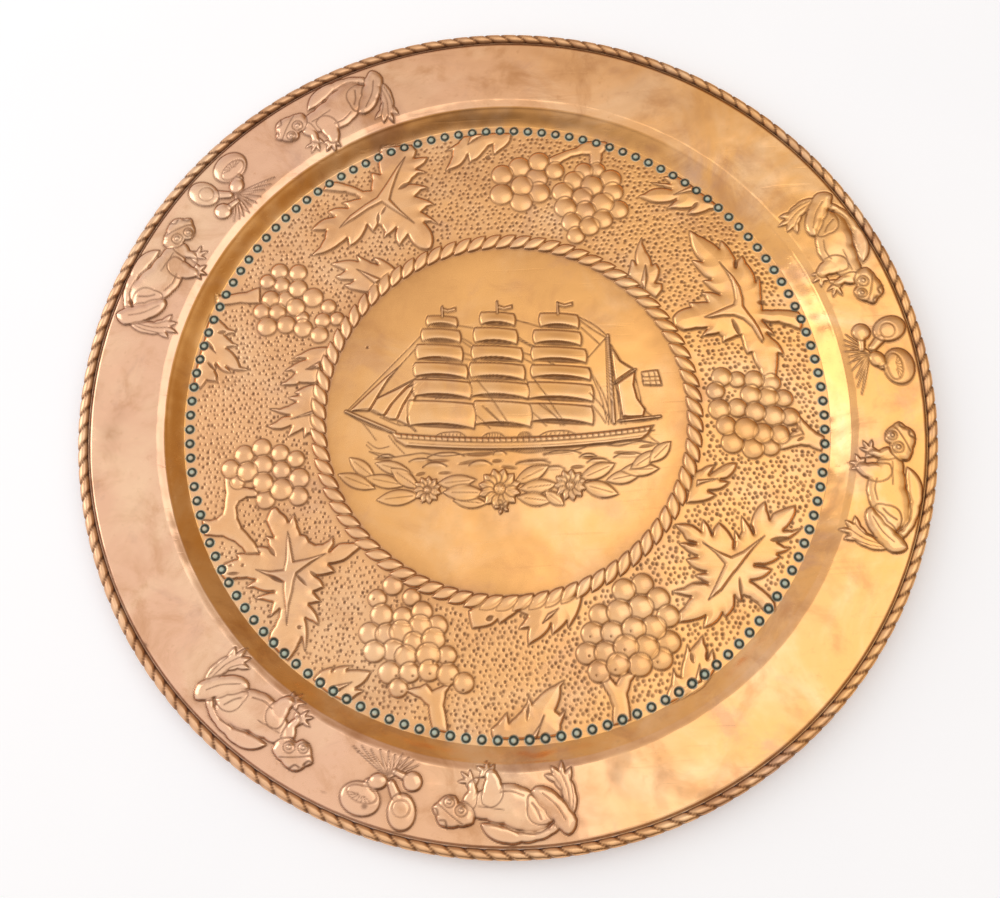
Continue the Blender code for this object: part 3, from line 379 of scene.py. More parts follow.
# Sprays of young leaves along the rope and along the beads: the outline, then a rib like a narrow wedge
youngLeaves = (
    (((-124, 122.5), (-118, 124.2), (-110, 125), (-103.6, 123.6), (-105, 128.7), (-99.4, 125.6),
      (-94, 122.2), (-89, 120.2), (-92.5, 126), (-88, 125.3), (-82, 121.6), (-76, 116), (-84, 106),
      (-95, 98), (-105, 100), (-110, 101.6), (-114.5, 105.4), (-110, 106.4), (-107.4, 108.4), (-112, 108.6),
      (-117, 109.2), (-120.6, 112.4), (-117, 114), (-113.4, 116.6), (-117, 118.4)), ((-104.8, 116.8),
      (-87, 108), (-91, 104))),
    (((-125, 57.5), (-133, 57.8), (-140, 56.6), (-146, 53.4), (-152, 50.3), (-147, 50), (-142.4, 49),
      (-148.6, 47), (-154, 43.6), (-157.6, 41), (-152.6, 40.6), (-150.4, 39), (-153, 36), (-157, 33),
      (-161, 30.6), (-155, 29.3), (-148.6, 29.5), (-147, 31), (-141, 30.4), (-135, 30), (-130, 44)),
      ((-142.4, 40.8), (-132, 46.5), (-132, 41))),
    (((-136, 30), (-144, 28), (-150.6, 24.2), (-147.6, 22.2), (-155, 20.4), (-152, 18.4), (-149.6, 17),
      (-155, 14.4), (-161, 12.4), (-168.6, 12.8), (-164, 10.6), (-159, 8.2), (-154, 7), (-159, 6.4),
      (-164, 3), (-169.6, 0), (-166, -2.6), (-160, -3.3), (-153, -1), (-154.4, -4.6), (-155.6, -9),
      (-150, -6.6), (-144.4, -3.6), (-144, -10), (-141, -7.6), (-136, -6), (-134, 12)), ((-153, 4),
      (-137, 9.6), (-137, 7))),
    (((94, 103), (96, 110), (97.4, 115), (99.6, 113.8), (100.6, 111), (100.3, 118), (102, 124.2),
      (104.4, 129.4), (106, 132.6), (106.6, 127), (108.6, 121), (111.2, 116.4), (112.2, 110), (115, 111.6),
      (117.6, 106.6), (116.6, 101.4), (113.8, 96), (118.4, 95), (118.2, 90), (113, 84)), ((106.9, 110),
      (108, 100), (105, 90), (103, 96.6))),
    (((130, -48), (135, -46), (139, -43.6), (145, -43), (142.6, -46.4), (140, -50), (144.6, -47.2),
      (148, -45.2), (152, -43), (156, -42), (160, -42.4), (159, -46.6), (156, -50.6), (152, -53.6),
      (147.5, -54.2), (153.6, -56), (150, -59.6), (146, -61.4), (138.4, -61.8), (143.6, -65), (139, -68),
      (132, -69.6), (122, -69.6)),
     ((145.5, -53.4), (131, -53.8), (130, -58), (137, -55.6))),
    (((-32, -138), (-30, -150), (-24, -149.8), (-17, -148.4), (-12.4, -145), (-11.4, -147.8), (-5, -144.2),
      (2, -139.4), (8, -143), (5, -147), (1.4, -151.6), (8.4, -151.4), (7.3, -157), (7.6, -162.6),
      (12, -160.6), (18, -157), (22, -153), (23.7, -149.4), (24, -156.6), (30, -152.6), (34.6, -148),
      (35, -152.6), (39.6, -147), (43, -141), (46, -131), (20, -130), (-20, -130)), ((29, -139),
      (22, -142.4), (17.8, -148.6), (24.4, -144.2))),
    (((-23, 222), (-27, 216.8), (-32, 213.4), (-35.6, 211.2), (-31.4, 210.8), (-31.8, 206), (-34, 200.6),
      (-37.2, 194), (-31, 195.2), (-26, 197.6), (-22.4, 201.6), (-19.8, 206.6), (-18.4, 200), (-13, 202.2),
      (-8, 207.6), (-4, 212.6), (-0.5, 213.8), (0, 205.4), (5, 208.8), (10, 212.6), (13, 216.6),
      (14.5, 223)), ((-19.4, 214.4), (-16.6, 223), (-6.5, 222))),
    (((106, 166), (111, 168), (116, 171), (121, 172), (127, 171.4), (131, 170.2), (125, 173), (120, 174.6),
      (116, 177), (123, 175.8), (130.4, 175), (126, 181), (136, 181), (152, 167), (166, 153), (158, 152),
      (152, 149.6), (146, 148.5), (141, 149.6), (144.4, 154), (140, 153.6), (133, 154.2), (126.4, 155),
      (130, 158), (134.2, 161.6), (130, 159.8), (124, 159.2), (117, 159.8), (111, 162.5)), ((132.4, 165.4),
      (146, 171.5), (150, 167))),
    (((-212, 86), (-207, 84), (-203, 80), (-199, 75.5), (-193, 72.5), (-197, 70.8), (-201, 70.3),
      (-198.5, 67.5), (-195, 64), (-191.3, 62), (-199.6, 60.2), (-196.6, 58), (-193, 53.6), (-190.6, 49),
      (-189.5, 45.4), (-183.4, 43.2), (-188, 42.2), (-194, 42.8), (-199.6, 46), (-196.4, 41.2), (-201, 42),
      (-204.6, 44.6), (-207.4, 48.4), (-207.6, 43), (-206, 39), (-206.6, 34.6), (-213.6, 36), (-218, 30),
      (-223, 35), (-220, 52), (-216, 68)),
     ((-207, 56), (-212, 61), (-214, 66))),
    (((-138, -179), (-133.6, -174), (-129, -172.2), (-124.7, -171.4), (-125, -174), (-123.2, -172),
      (-119, -171), (-112.8, -171), (-115, -174), (-110, -173.8), (-105, -174.2), (-98.8, -175.3),
      (-100, -178.6), (-103.6, -183), (-109.2, -186.4), (-103.8, -188), (-108.6, -191), (-114, -194.6),
      (-120, -193), (-130, -187)), ((-111.6, -182), (-124, -184), (-122, -188.6))),
    (((30.6, -187), (24, -190.2), (18, -193), (12, -198), (8.4, -201.6), (6.2, -196.4), (4.8, -201),
      (1, -206), (-3, -209.6), (-7.4, -213), (-8.8, -206.4), (-12, -209.6), (-15.6, -213.6), (-20, -217),
      (-19, -223), (26, -223), (26.8, -216), (28.6, -212), (30.2, -206.4), (26.4, -209), (23.6, -206.6),
      (26, -202), (27.6, -197), (28, -191)),
     ((15.6, -209.6), (13, -215), (6, -224), (10, -224))),
    (((97, -206), (99, -198), (102, -193), (103, -188), (104, -183.4), (106, -187), (108.8, -188),
      (109.8, -182), (112, -176), (113.6, -171), (114.6, -167), (116.3, -171), (119, -168.4), (122, -165.4),
      (125.6, -161.4), (126.2, -166), (128, -171.6), (127.6, -177), (131.4, -171), (132.4, -177),
      (132, -184), (122, -196)), ((121.5, -180.6), (117, -194), (122, -192))),
)

# Short dark creases where a leaf is drawn in, as x, y, length, half width, turn
creases = (
    (-68.5, 182.4, 10, 1.6, 32), (-88.2, 157, 9, 1.2, 85), (-84, 163, 8, 0.9, 60), (173, 107.5, 8, 1.4, 85),
    (189, 76.5, 6, 1.6, 0), (168.6, 58, 15, 1.4, 110), (154, -131, 16, 1.0, 92), (166, -90, 8, 1.3, 110),
    (137.4, -90, 7, 0.9, 110), (184, -98.2, 14, 1.3, 4), (169, -115.6, 9, 1.2, -8),
    (123.4, -98.4, 7.5, 1.7, 0), (127, -126, 10, 0.8, 0), (-166, -90.6, 9, 1.3, -55),
    (-163, -110, 13, 1.3, -28), (-136.6, -108.4, 9, 0.9, -40), (-145.5, -111.5, 12, 0.9, -48),
    (-192.5, -105, 9, 0.9, 0), (-147, -143.8, 3.4, 1.1, 0), (-186, -99.4, 2.6, 1.1, 0),
    (-203, 72.4, 7, 1.2, 0), (-211, 62, 10, 1.0, -55), (-210.6, 47, 9, 0.9, -50), (-137.6, 42, 8, 1.6, 12),
    (-150, 48.4, 8, 0.8, 8), (-17.6, -143.6, 6, 1.6, 20), (5, -207, 12, 1.1, 80), (117, -176, 7.5, 1.4, 98),
    (127.2, -175.2, 6.5, 1.2, 85), (147.4, 155.8, 7, 1.4, 42), (-4.6, 203.8, 4.6, 2.2, 0),
    (107.2, 103.5, 13, 0.6, 84),
)

# Bunches of grapes: x, y and radius of each grape, those that lie underneath first
bunches = (
    ((-145, 81, 4.8), (-161.7, 118, 6.2), (-148, 116.5, 6.4), (-160, 107.2, 5.8), (-170.6, 110.5, 5.6),
     (-156.9, 95.5, 6.4), (-148, 104, 6.6), (-168.3, 96.7, 6.3), (-137.1, 96.3, 7.2), (-174.6, 87.4, 6),
     (-162.9, 86.2, 6), (-125.8, 88.6, 5.5), (-149.6, 89.4, 6.6), (-156.5, 76.1, 6.6), (-170.6, 75.3, 7),
     (-119.7, 78.9, 5.2), (-130.2, 78.1, 5.7), (-144.3, 72.5, 6.6), (-132.6, 67.2, 6.3)),
    ((18.8, 194.2, 7.8), (31.5, 184.7, 7.8), (33.5, 198, 7.4), (5.5, 188.5, 7.7), (32.1, 172.5, 7.9),
     (18.8, 165.8, 8), (4.2, 172.5, 8.1), (19.6, 178.8, 7.7)),
    ((77, 189, 5.6), (66.7, 188.5, 6.6), (45, 189.8, 6.7), (58.9, 181.2, 7.2), (86.6, 180.8, 7.5),
     (72.3, 176, 7.8), (50, 172, 7.6), (87.4, 170, 7.4), (90.5, 155.6, 7.2), (64.5, 167.3, 7.2),
     (79.2, 161.3, 8), (66, 155.6, 7.4), (51.3, 159.5, 7.8), (55.4, 147, 7.2), (78.4, 148.3, 7.2),
     (57.8, 136.2, 6.4), (68.2, 143.1, 7.1)),
    ((184.7, -32, 6.4), (172.4, -32.5, 7.4), (158.3, -27.7, 7.5), (166, 18.7, 5.8), (190, 15.2, 6.4),
     (178, 18, 6.6), (155.1, 21.2, 6.9), (149.9, 11, 6.2), (197.7, 3.2, 6.2), (186.8, 4.6, 6.9),
     (174.5, 7.1, 6.9), (164.3, -2.4, 6.6), (200.9, -10.8, 6.4), (189.3, -9.4, 7.2), (176.6, -5.9, 6.9),
     (151.3, -2.7, 7.3), (155.1, -15, 6.7), (192.1, -23.2, 6.7), (180.1, -21.8, 7), (168.9, -17.9, 7.9)),
    ((87.6, -125, 7.2), (97.7, -135.4, 7.4), (74.6, -128.5, 7.6), (57.2, -144.4, 7), (103.4, -147.6, 7.4),
     (85.6, -140.7, 8), (70.4, -143.1, 8.1), (102.6, -165, 7.6), (93.3, -155, 7.8), (51.5, -157, 7.5),
     (64.9, -157, 7.4), (79.5, -155, 7.7), (96.5, -176, 7.4), (47, -170.3, 7.3), (59.6, -170.3, 7.5),
     (87.2, -168, 8), (73.4, -167, 8), (54.3, -182.5, 7.3), (81.9, -179.3, 7.7), (67.3, -178.4, 7.4)),
    ((-83.1, -118, 6.7), (-93.8, -126.6, 6.2), (-70.4, -126.8, 6), (-91, -138, 7.4), (-76.6, -140.2, 6.8),
     (-63.4, -137, 6.9), (-99.4, -149.9, 7.1), (-88.1, -151.2, 7.1), (-53.4, -147, 6.9),
     (-65.3, -146.7, 7.4), (-78.2, -149.9, 7.5), (-83.6, -162.4, 7.3), (-96.5, -162.4, 7.1),
     (-69.8, -157.3, 6.7), (-56.3, -156.3, 7.7), (-47.3, -167.2, 6.3), (-75.3, -166.6, 7.2),
     (-60.2, -166.3, 7.8), (-86.5, -176.9, 7.3), (-73, -177.5, 6.7), (-59.8, -176.9, 6.9),
     (-47, -179.8, 7.2), (-80.7, -187.5, 6.2), (-36.7, -185.9, 6.7)),
    ((-190.4, -40, 5.2), (-160.7, -20.5, 6.2), (-149.4, -25.4, 6), (-186.1, -20.6, 6.8), (-173.7, -16, 6.5),
     (-195.7, -30.2, 6.4), (-172.7, -28.6, 6.8), (-183.6, -33, 6.9), (-147.2, -39.4, 7), (-159.6, -33, 6.3),
     (-147.6, -52.4, 6.6), (-170.6, -53.8, 6.6), (-159.6, -46.8, 7.5), (-172.7, -41.3, 6.9)),
)

# Stems of the bunches and leaves
stems = (
    ((-208, 101), (-208, 93.5), (-190, 94.5), (-176, 93.5), (-176, 106.5), (-186, 103), (-196, 102)),
    ((60, -185), (55.5, -190), (60, -199), (62, -206), (61, -218), (73, -215), (72, -198), (75, -190),
     (79.5, -184), (70, -184), (65, -191)),
    ((-76, -189), (-66, -195), (-61, -200), (-59, -215), (-48.5, -218), (-50.5, -200), (-49, -192),
     (-45, -185.5), (-53, -188), (-58, -190), (-62, -185), (-66, -187)),
    ((41, 200.5), (50, 204.5), (62, 208), (69, 213), (85, 212), (86, 207.5), (81.5, 202), (79.5, 192),
     (72, 193), (72, 201.5), (66, 202), (58, 200.5), (52, 197.5), (48, 195), (42, 194)),
    ((206, -9), (210, -14), (214, -19), (218, -23), (223, -26), (220, -37), (216, -35.5), (212, -33),
     (206, -32), (200, -33), (194, -34.5), (191, -34.5), (191, -28), (198, -25), (205, -19)),
    ((-200, -36), (-199, -48), (-200, -58), (-201, -62), (-205, -65.5), (-209, -66.5), (-215, -66),
     (-213, -77), (-209, -77.5), (-200, -78.5), (-192, -82.5), (-187, -87), (-184, -91.5), (-175, -91.5),
     (-177, -85), (-181, -80), (-187, -73), (-190, -66), (-191, -58), (-189, -54.5), (-184, -51.5),
     (-176, -51.5), (-176, -46), (-186, -44), (-192, -40), (-195, -36)),
)

grapePits = (  # where a stalk left its mark
    (49.5, -159), (63.5, -159.5), (48, -172), (72, -169), (52, -185), (65, -182), (93.5, -178),
    (77, -156.5), (-96, -127), (-82, -179.5), (-71, -180), (-59.5, -179), (-57, -171), (-78.5, -190),
    (-37.5, -191), (-45, -183.5), (-48.5, -171.5),
)
struckMark = ((198, -17.5), (205, -16), (208.5, -24), (199, -25.5), (198, -17.5))
stemMarks = (
    (202.5, -20.5, 4.5, 1.3, -30), (206, -27.3, 6, 0.8, 28), (-180.5, -45, 5.5, 0.8, 0), (-194.5, -99, 3, 0.8, 0),
)


def leaf(outline, share=1.0):
    cut, xs, ys, inside = insideOf(bowed(outline, 0.035))
    swell = 1 - np.exp(-np.clip(inside, 0, None) / 5)
    press(cut, inside, share * (frieze["leaf"] * smooth(inside / 1.6) + frieze["leafSwell"] * swell))


def ribs(outline, tall):
    cut, xs, ys, inside = insideOf(outline)
    press(cut, inside, tall + frieze["rib"] * smooth(inside / 1.8))


for outline, star in vineLeaves:
    leaf(outline)
    ribs(list(star), frieze["leaf"] + frieze["leafSwell"])
for outline, wedge in youngLeaves:
    leaf(outline, 0.85)
    ribs(list(wedge), frieze["leaf"] + frieze["leafSwell"] * 0.7)
for crease in creases:
    dent(*crease)
for outline in stems:
    cut, xs, ys, inside = insideOf(bowed(outline, 0.03))
    press(cut, inside, frieze["stem"] * np.sqrt(1 - (1 - np.clip(inside / 4, 0, 1)) ** 2))
for bunch in bunches:
    for x, y, radius in bunch:
        girth = radius * frieze["grapeGirth"]
        dome(flat, x, y, girth, girth, 0, frieze["grape"], 0.85, 0.75)
chase(struckMark, width=1.3, ink=0.8)
for mark in stemMarks:
    dent(*mark)
for x, y in grapePits:
    pit(x, y, 0.9, 0.5, 0.95, 0.0)
print("frieze chased")


# Medallion with the ship

ship = {
    "sail": 1.5,
    "hull": 1.3,
    "wave": 0.7,
    "garland": 1.1,
    "flower": 1.7,
    "headBow": 0.8,
    "leechBow": 1.3,
    "footArch": 2.4,
    "sailSlope": 0.1,
    "hullSag": 8.0,
    "pennantY": 82.5,
    "railPosts": 44,
}

# Ship: for each mast its tiers of sails (left, right, head, foot), top to bottom
mastSails = (
    ((-54, -33, 77, 69), (-58, -31, 67, 57), (-62, -30, 55, 43), (-64, -27, 41, 30), (-65, -25, 28, 15),
     (-69, -23, 12, -7)),
    ((-15, 9, 78, 68), (-20, 10, 66, 54), (-22, 13, 52, 41), (-24, 14, 39, 27), (-24, 16, 25, 13),
     (-22, 17, 10, -8)),
    ((28, 55, 75, 64), (23, 56, 62, 51), (21, 59, 49, 38), (20, 61, 35, 25), (17, 62, 22, 9),
     (17, 61, 6, -8)),
)
jibs = (
    ((-78, 0), (-73, 11), (-66, 22), (-52, 35), (-60, 24), (-66, 12), (-70, 1), (-69.5, -5)),
    ((-87, 3), (-80, 14), (-70, 24), (-58, 31), (-66, 22), (-73, 11), (-78, 0), (-83, 0.5)),
    ((-97, 8), (-92, 17), (-78, 23), (-65, 29.5), (-74, 20), (-82, 11), (-87, 3.5), (-92, 5)),
    ((-112, 8), (-98, 21), (-86, 32), (-76, 40), (-83, 31), (-90, 20), (-96, 10), (-98, 7.5), (-105, 8)),
)
spanker = ((80, 20), (86, 24), (94, 29), (92, 18), (94, 8), (99, 0), (97, -6), (88, -6), (82, -5), (81, 8))
gaffTopsail = ((77.5, 50), (84, 37), (93, 30.5), (86, 26), (79, 21.5), (78, 35))
flag = ((98, 28), (110, 29), (112, 17), (99, 18))
pennants = (-42, -1, 43)
spars = (
    (-114, 8, -80, -9, 1.3, 1.6), (76, 57, 76, -9, 1.0, 1.3), (80, -8, 109, -6, 1.2, 1.0),
    (78, 20, 94, 30, 0.9, 0.8), (-43, 77, -43, 85, 0.8, 0.6), (-3, 78, -3, 87, 0.8, 0.6),
    (41, 75, 41, 84, 0.8, 0.6),
)
hullStem = (-82, -9)
hullStern = (104, -12)
deckHouses = ((-40, 22), (35, 26), (-10, 16), (12, 10))
waves = (
    (-86, -26, 12, 1.8), (-52, -34, 17, 2.6), (-44, -27, 26, 2.4), (-20, -34, 16, 2.6), (-6, -27, 9, 2.2),
    (17, -35, 24, 2.0), (38, -29, 26, 2.0), (56, -32, 12, 1.8), (63, -36, 16, 2.2), (85, -33, 22, 2.6),
    (16, -43, 15, 1.8), (32, -40, 14, 1.8), (86, -24, 30, 1.8), (-62, -30, 16, 1.6),
)
troughs = (
    (-20, -27.5, 20, 1.3, 0), (34, -29, 22, 1.1, 0), (82, -31.5, 16, 1.1, -8), (-50, -31, 18, 0.9, 0),
    (16, -34, 24, 0.9, 3), (60, -34, 18, 0.9, -5), (-28, -33, 16, 1, 8), (-8, -33, 8, 1, 0),
    (-62, -40, 8, 1, 10), (48, -40, 10, 1, 0), (0, -38, 12, 0.9, -10), (-45, -40, 10, 0.8, 0),
    (-88, -28, 14, 0.9, -6), (98, -27, 12, 0.8, 6),
)
garland = (
    (-103, -34, 24, 5.0, -42), (-107, -43.5, 29, 5.2, -24), (-81, -35, 27, 4.8, -18),
    (-87, -44.5, 29, 5.0, -14), (-73, -43, 25, 5.2, -38), (-78, -56.5, 31, 5.8, 4), (-37, -47, 28, 5.0, 4),
    (-28, -62, 24, 4.6, -8), (-32, -55, 30, 5.8, -3), (16, -44, 28, 5.4, 25), (20, -53, 27, 5.2, 5),
    (17, -62, 25, 5.0, -10), (31, -62, 17, 4.4, -40), (62, -44, 28, 5.4, 22), (63, -57, 27, 6.0, -18),
    (80, -49, 26, 5.0, 10), (92, -44, 27, 5.2, 0), (96, -37, 25, 4.6, 30), (107, -32, 22, 5.0, 42),
)
flowers = ((-57.5, -52, 9.8, 11), (-7, -53.5, 14.5, 12), (-6, -66.5, 5.5, 5), (42.5, -53, 11.2, 11))

# Lines of the rigging, the sails' seams and the sea
riggingBehind = (
    ((-114, 8), (-84, 38), (-58, 64)), ((-112, 8), (-82, 34), (-60, 57)),
    ((-33, 70), (-24, 68), (-15, 66)), ((-30, 60), (-25, 57), (-20, 53)), ((-30, 58), (-20, 50)),
    ((-30, 49), (-20, 45)),
    ((-28, 44), (-20, 42)), ((10, 72), (19, 69), (27, 66)), ((10, 60), (16, 55), (23, 51)), ((11, 57),
     (22, 50)),
    ((13, 47), (26, 42), (37, 36)), ((13, 43), (24, 36)), ((-26, 30), (-24, 22)), ((14, 30), (17, 22)),
    ((54, 73), (66, 66), (76, 56)), ((55, 71), (64, 63), (75, 55)), ((57, 64), (70, 50)), ((76, 57),
     (58, 38)),
    ((-48, 38), (-70, 28), (-92, 17)), ((-58, 31), (-73, 18), (-81, 5), (-88, 2)), ((-57, 28), (-70, 12),
     (-77, 0), (-76, -4)),
    ((-66, 12), (-71, -1), (-65, -9)),
)
rigging = (
    ((-72, 44), (-84, 29), (-92, 16), (-96, 10)), ((-112, 8), (-97, 9), (-87, 3)), ((-90, 3), (-78, -3),
     (-68, -5), (-64, -9)),
    ((-115, 8), (-98, -1), (-80, -9)), ((-113, 6), (-96, -4), (-76, -11)), ((-103, 0), (-97, -8), (-93, -14)),
    ((76, 56), (76, 20), (75, -10)), ((74, 54), (73, 20), (72, -10)), ((77, 50), (79, 20), (81, -10)),
    ((76, 48), (80, 10), (84, -10)),
    ((60, 33), (70, 12), (74, -9)), ((62, 28), (68, 10), (71, -8)), ((60, 14), (68, 4), (73, -6)), ((61, 5),
     (66, -2), (70, -9)),
    ((76, 52), (82, 38), (93, 29)), ((93, 29), (95, 14), (98, 0), (107, -8)), ((78, 20), (86, 25),
     (94, 29)), ((78, -8), (94, -9), (109, -7)),
    ((-20, 28), (-8, 10), (1, -7)), ((-17, 8), (-8, -2), (-2, -8)), ((-14, 6), (-2, -8)), ((-22, 2),
     (-12, -9)),
    ((20, 28), (32, 8), (41, -9)), ((23, 8), (34, -2), (38, -9)), ((26, 8), (40, -9)), ((18, 2), (28, -9)),
    ((99, 27), (99, 18)), ((103, 28), (104, 17)), ((107, 28), (108, 17)), ((98, 24), (111, 24)), ((98, 21),
     (111, 21)),
    ((-99, -15), (-92, -20), (-84, -19)), ((-98, -22), (-90, -24), (-84, -25), (-82, -28)), ((-100, -17),
     (-96, -21)),
    ((-84, -11), (-79, -18), (-73, -25)), ((104, -12), (101, -17), (100, -20), (107, -26)),
)
hatchedFeet = (0, 0, 0, 0, 9, 0), (0, 0, 0, 0, 0, 0), (0, 0, 0, 9, 0, 0)
seaLine = (
    (-98, -22), (-86, -27), (-72, -26), (-60, -25), (-46, -28), (-30, -27), (-16, -27), (0, -26), (14, -28),
    (30, -27), (46, -28), (62, -24), (78, -26), (92, -24), (106, -26),
)


def arched(t):
    return 4 * t * (1 - t)


def sailOutline(left, right, head, foot):
    middle = (left + right) / 2
    steps = [k / 8 for k in range(8)]
    line = []
    for begin, end, y, bow, leech, rise in (
        (left, right, head, ship["headBow"], ship["leechBow"], foot - head),
        (right, left, foot, ship["footArch"], -ship["leechBow"], head - foot),
    ):
        for t in steps:
            x = begin + (end - begin) * t
            line.append((x, y - ship["sailSlope"] * (x - middle) + bow * arched(t)))
        for t in steps:
            line.append((end + leech * arched(t), y + rise * t - ship["sailSlope"] * (end - middle)))
    return line[::-1]


def sail(left, right, head, foot):
    cut, xs, ys, inside = insideOf(sailOutline(left, right, head, foot))
    u = np.clip((xs - left) / (right - left), 0, 1)
    v = np.clip((head - ys - ship["sailSlope"] * (xs - (left + right) / 2)) / (head - foot), 0, 1)
    swell = np.sin(math.pi * u) ** 0.5 * np.sin(math.pi * v**1.5)
    press(cut, inside, ship["sail"] * (0.4 + 0.6 * swell) * smooth(inside / 0.8))


def shadow(outline, ink, sink=0.3):  # a hollow that keeps its patina
    cut, xs, ys, inside = insideOf(outline)
    within = smooth(inside / 0.6 + 0.4)
    layer["ink"][cut] = np.maximum(layer["ink"][cut], within * ink)
    layer["sink"][cut] = np.maximum(layer["sink"][cut], within * sink)


for line in riggingBehind:
    chase(curve(line), width=0.8)
for jib in jibs:
    panel(jib, ship["sail"] * 0.7)
for mast in mastSails[::-1]:
    for tier in mast[::-1]:
        sail(*tier)
for mast, hatching in zip(mastSails, hatchedFeet):
    for (left, right, head, foot), hatched in zip(mast, hatching):
        middle, arch, gap = (left + right) / 2, [], []
        for k in range(9):
            x = left + 3 + (right - left - 6) * k / 8
            t = (x - left) / (right - left)
            y = foot - ship["sailSlope"] * (x - middle)
            arch.append((x, y + ship["footArch"] * arched(t) - 0.3))
            gap.append((x, y + 0.5 - 0.6 * arched(t)))
        shadow(arch + gap[::-1], 0.75, 0.45)
        for k in range(hatched):
            x = middle - 5 + 10 * k / max(hatched - 1, 1)
            chase([(x, foot + 1.9), (x, foot - 0.4)], width=0.7)
panel(spanker, ship["sail"])
panel(gaffTopsail, ship["sail"] * 0.7)
panel(flag, ship["sail"] * 0.5, bow=0.02)
for x in pennants:
    shape = ((-2, 2), (3, 0), (9, 1.5), (9, -1.5), (3, -2.6), (-2, -1))
    panel([(x + dx, ship["pennantY"] + dy) for dx, dy in shape], ship["sail"] * 0.5)
for spar in spars:
    limb(flat, *spar, ship["sail"] * 0.7)
for line in rigging:
    chase(curve(line), width=0.75)


def rail(x, down=0.0):  # height of the sagging rail
    share = (x - hullStem[0]) / (hullStern[0] - hullStem[0])
    return hullStem[1] + (hullStern[1] - hullStem[1]) * share - ship["hullSag"] * 3 * share * (1 - share) - down


def alongHull(down, low=-78, high=104, count=18):
    run = [low + (high - low) * k / count for k in range(count + 1)]
    return [(x, rail(x, down)) for x in run]


hullSide = alongHull(0, hullStem[0]) + [(99, -19.5)] + alongHull(9.5, -72, 94)[::-1] + [(-79, -15)]
cut, xs, ys, inside = insideOf(hullSide[::-1])
press(cut, inside, ship["hull"] * smooth(inside / 1.6))
for down in (0.0, 3.8):
    chase(alongHull(down), width=0.9)
chase(alongHull(6.6, -70, 98), width=0.6, ink=0.6)
for k in range(ship["railPosts"]):
    x = -75 + 4.1 * k
    chase([(x, rail(x, 0.3)), (x, rail(x, 3.5))], width=1.1)
for x, width in deckHouses:
    ends = [(side, rail(side)) for side in (x - width / 2, x + width / 2)]
    roof = [(side, rail(x) + 3.2) for side in (x - width / 4, x + width / 4)]
    chase(curve([ends[0], *roof, ends[1]]), width=0.8)
    for k in range(6):
        at = x - width * 0.3 + width * 0.6 * k / 5
        chase([(at, rail(at, -0.4)), (at + 0.3, rail(at, -2.6))], width=0.6)
print("ship chased")

for x, y, length, half in waves:
    cut, xs, ys = window(x, y, length / 2 + 3, half + 3)
    away = np.hypot((xs - x) / (length / 2), (ys - y) / half)
    layer["rise"][cut] = np.maximum(layer["rise"][cut], ship["wave"] * smooth(1.2 - away))
    rising = [(x - length / 2, y - half * 0.5), (x - length / 5, y + half * 0.6)]
    chase(curve(rising + [(2 * x - px, py) for px, py in rising[::-1]]), width=1.25)
for x, y, length, half, turn in troughs:
    dent(x, y, length, half, turn, 0.5)
chase(curve(seaLine), width=0.9)
for shape in garland:
    lens(*shape, ship["garland"], vein=0.8)
for x, y, radius, petals in flowers:
    for k in range(petals):
        a = 2 * math.pi * (k + 0.5) / petals
        middle = radius * 0.62
        at = (x + middle * math.cos(a), y + middle * math.sin(a))
        lens(*at, radius * 0.85, radius * 0.26, math.degrees(a), ship["flower"], vein=0.5)
    dome(flat, x, y, radius * 0.28, radius * 0.28, 0, ship["flower"])
    for k in range(6):
        a = 2 * math.pi * k / 6
        pit(x + radius * 0.15 * math.cos(a), y + radius * 0.15 * math.sin(a), 0.5, 0.3, 0.8, 0.0)
pit(-98, 56, 1.1, 0.6, 1.0)  # a speck of corrosion
print("sea and garland chased")


# Rope round the medallion, each strand laid over the one before

rope = {"radius": 133.8, "width": 12.6, "height": 2.2, "strands": 78, "length": 19.0, "half": 4.3, "lean": 34.0}

ropeInner, ropeOuter = rope["radius"] - rope["width"] / 2, rope["radius"] + rope["width"] / 2
for k in range(rope["strands"]):
    a = -2 * math.pi * k / rope["strands"]
    turn = math.degrees(a) + 90 + rope["lean"]
    x, y = rope["radius"] * math.cos(a), rope["radius"] * math.sin(a)
    lens(x, y, rope["length"], rope["half"], turn, rope["height"], 0.75)
print("rope chased")


# Rim with its frogs and mushrooms, drawn in strips laid along it

rimWork = {"frog": 2.6, "mushroom": 2.3}

# Frogs round the rim: angle of the head in degrees, way the body runs, distance in from the rim's middle
frogs = ((147.1, 1, 0.0), (124.3, -1, 1.5), (16.2, 1, 0.0), (-6.7, -1, 1.0), (237.6, -1, 3.5), (259.5, 1, 2.5))

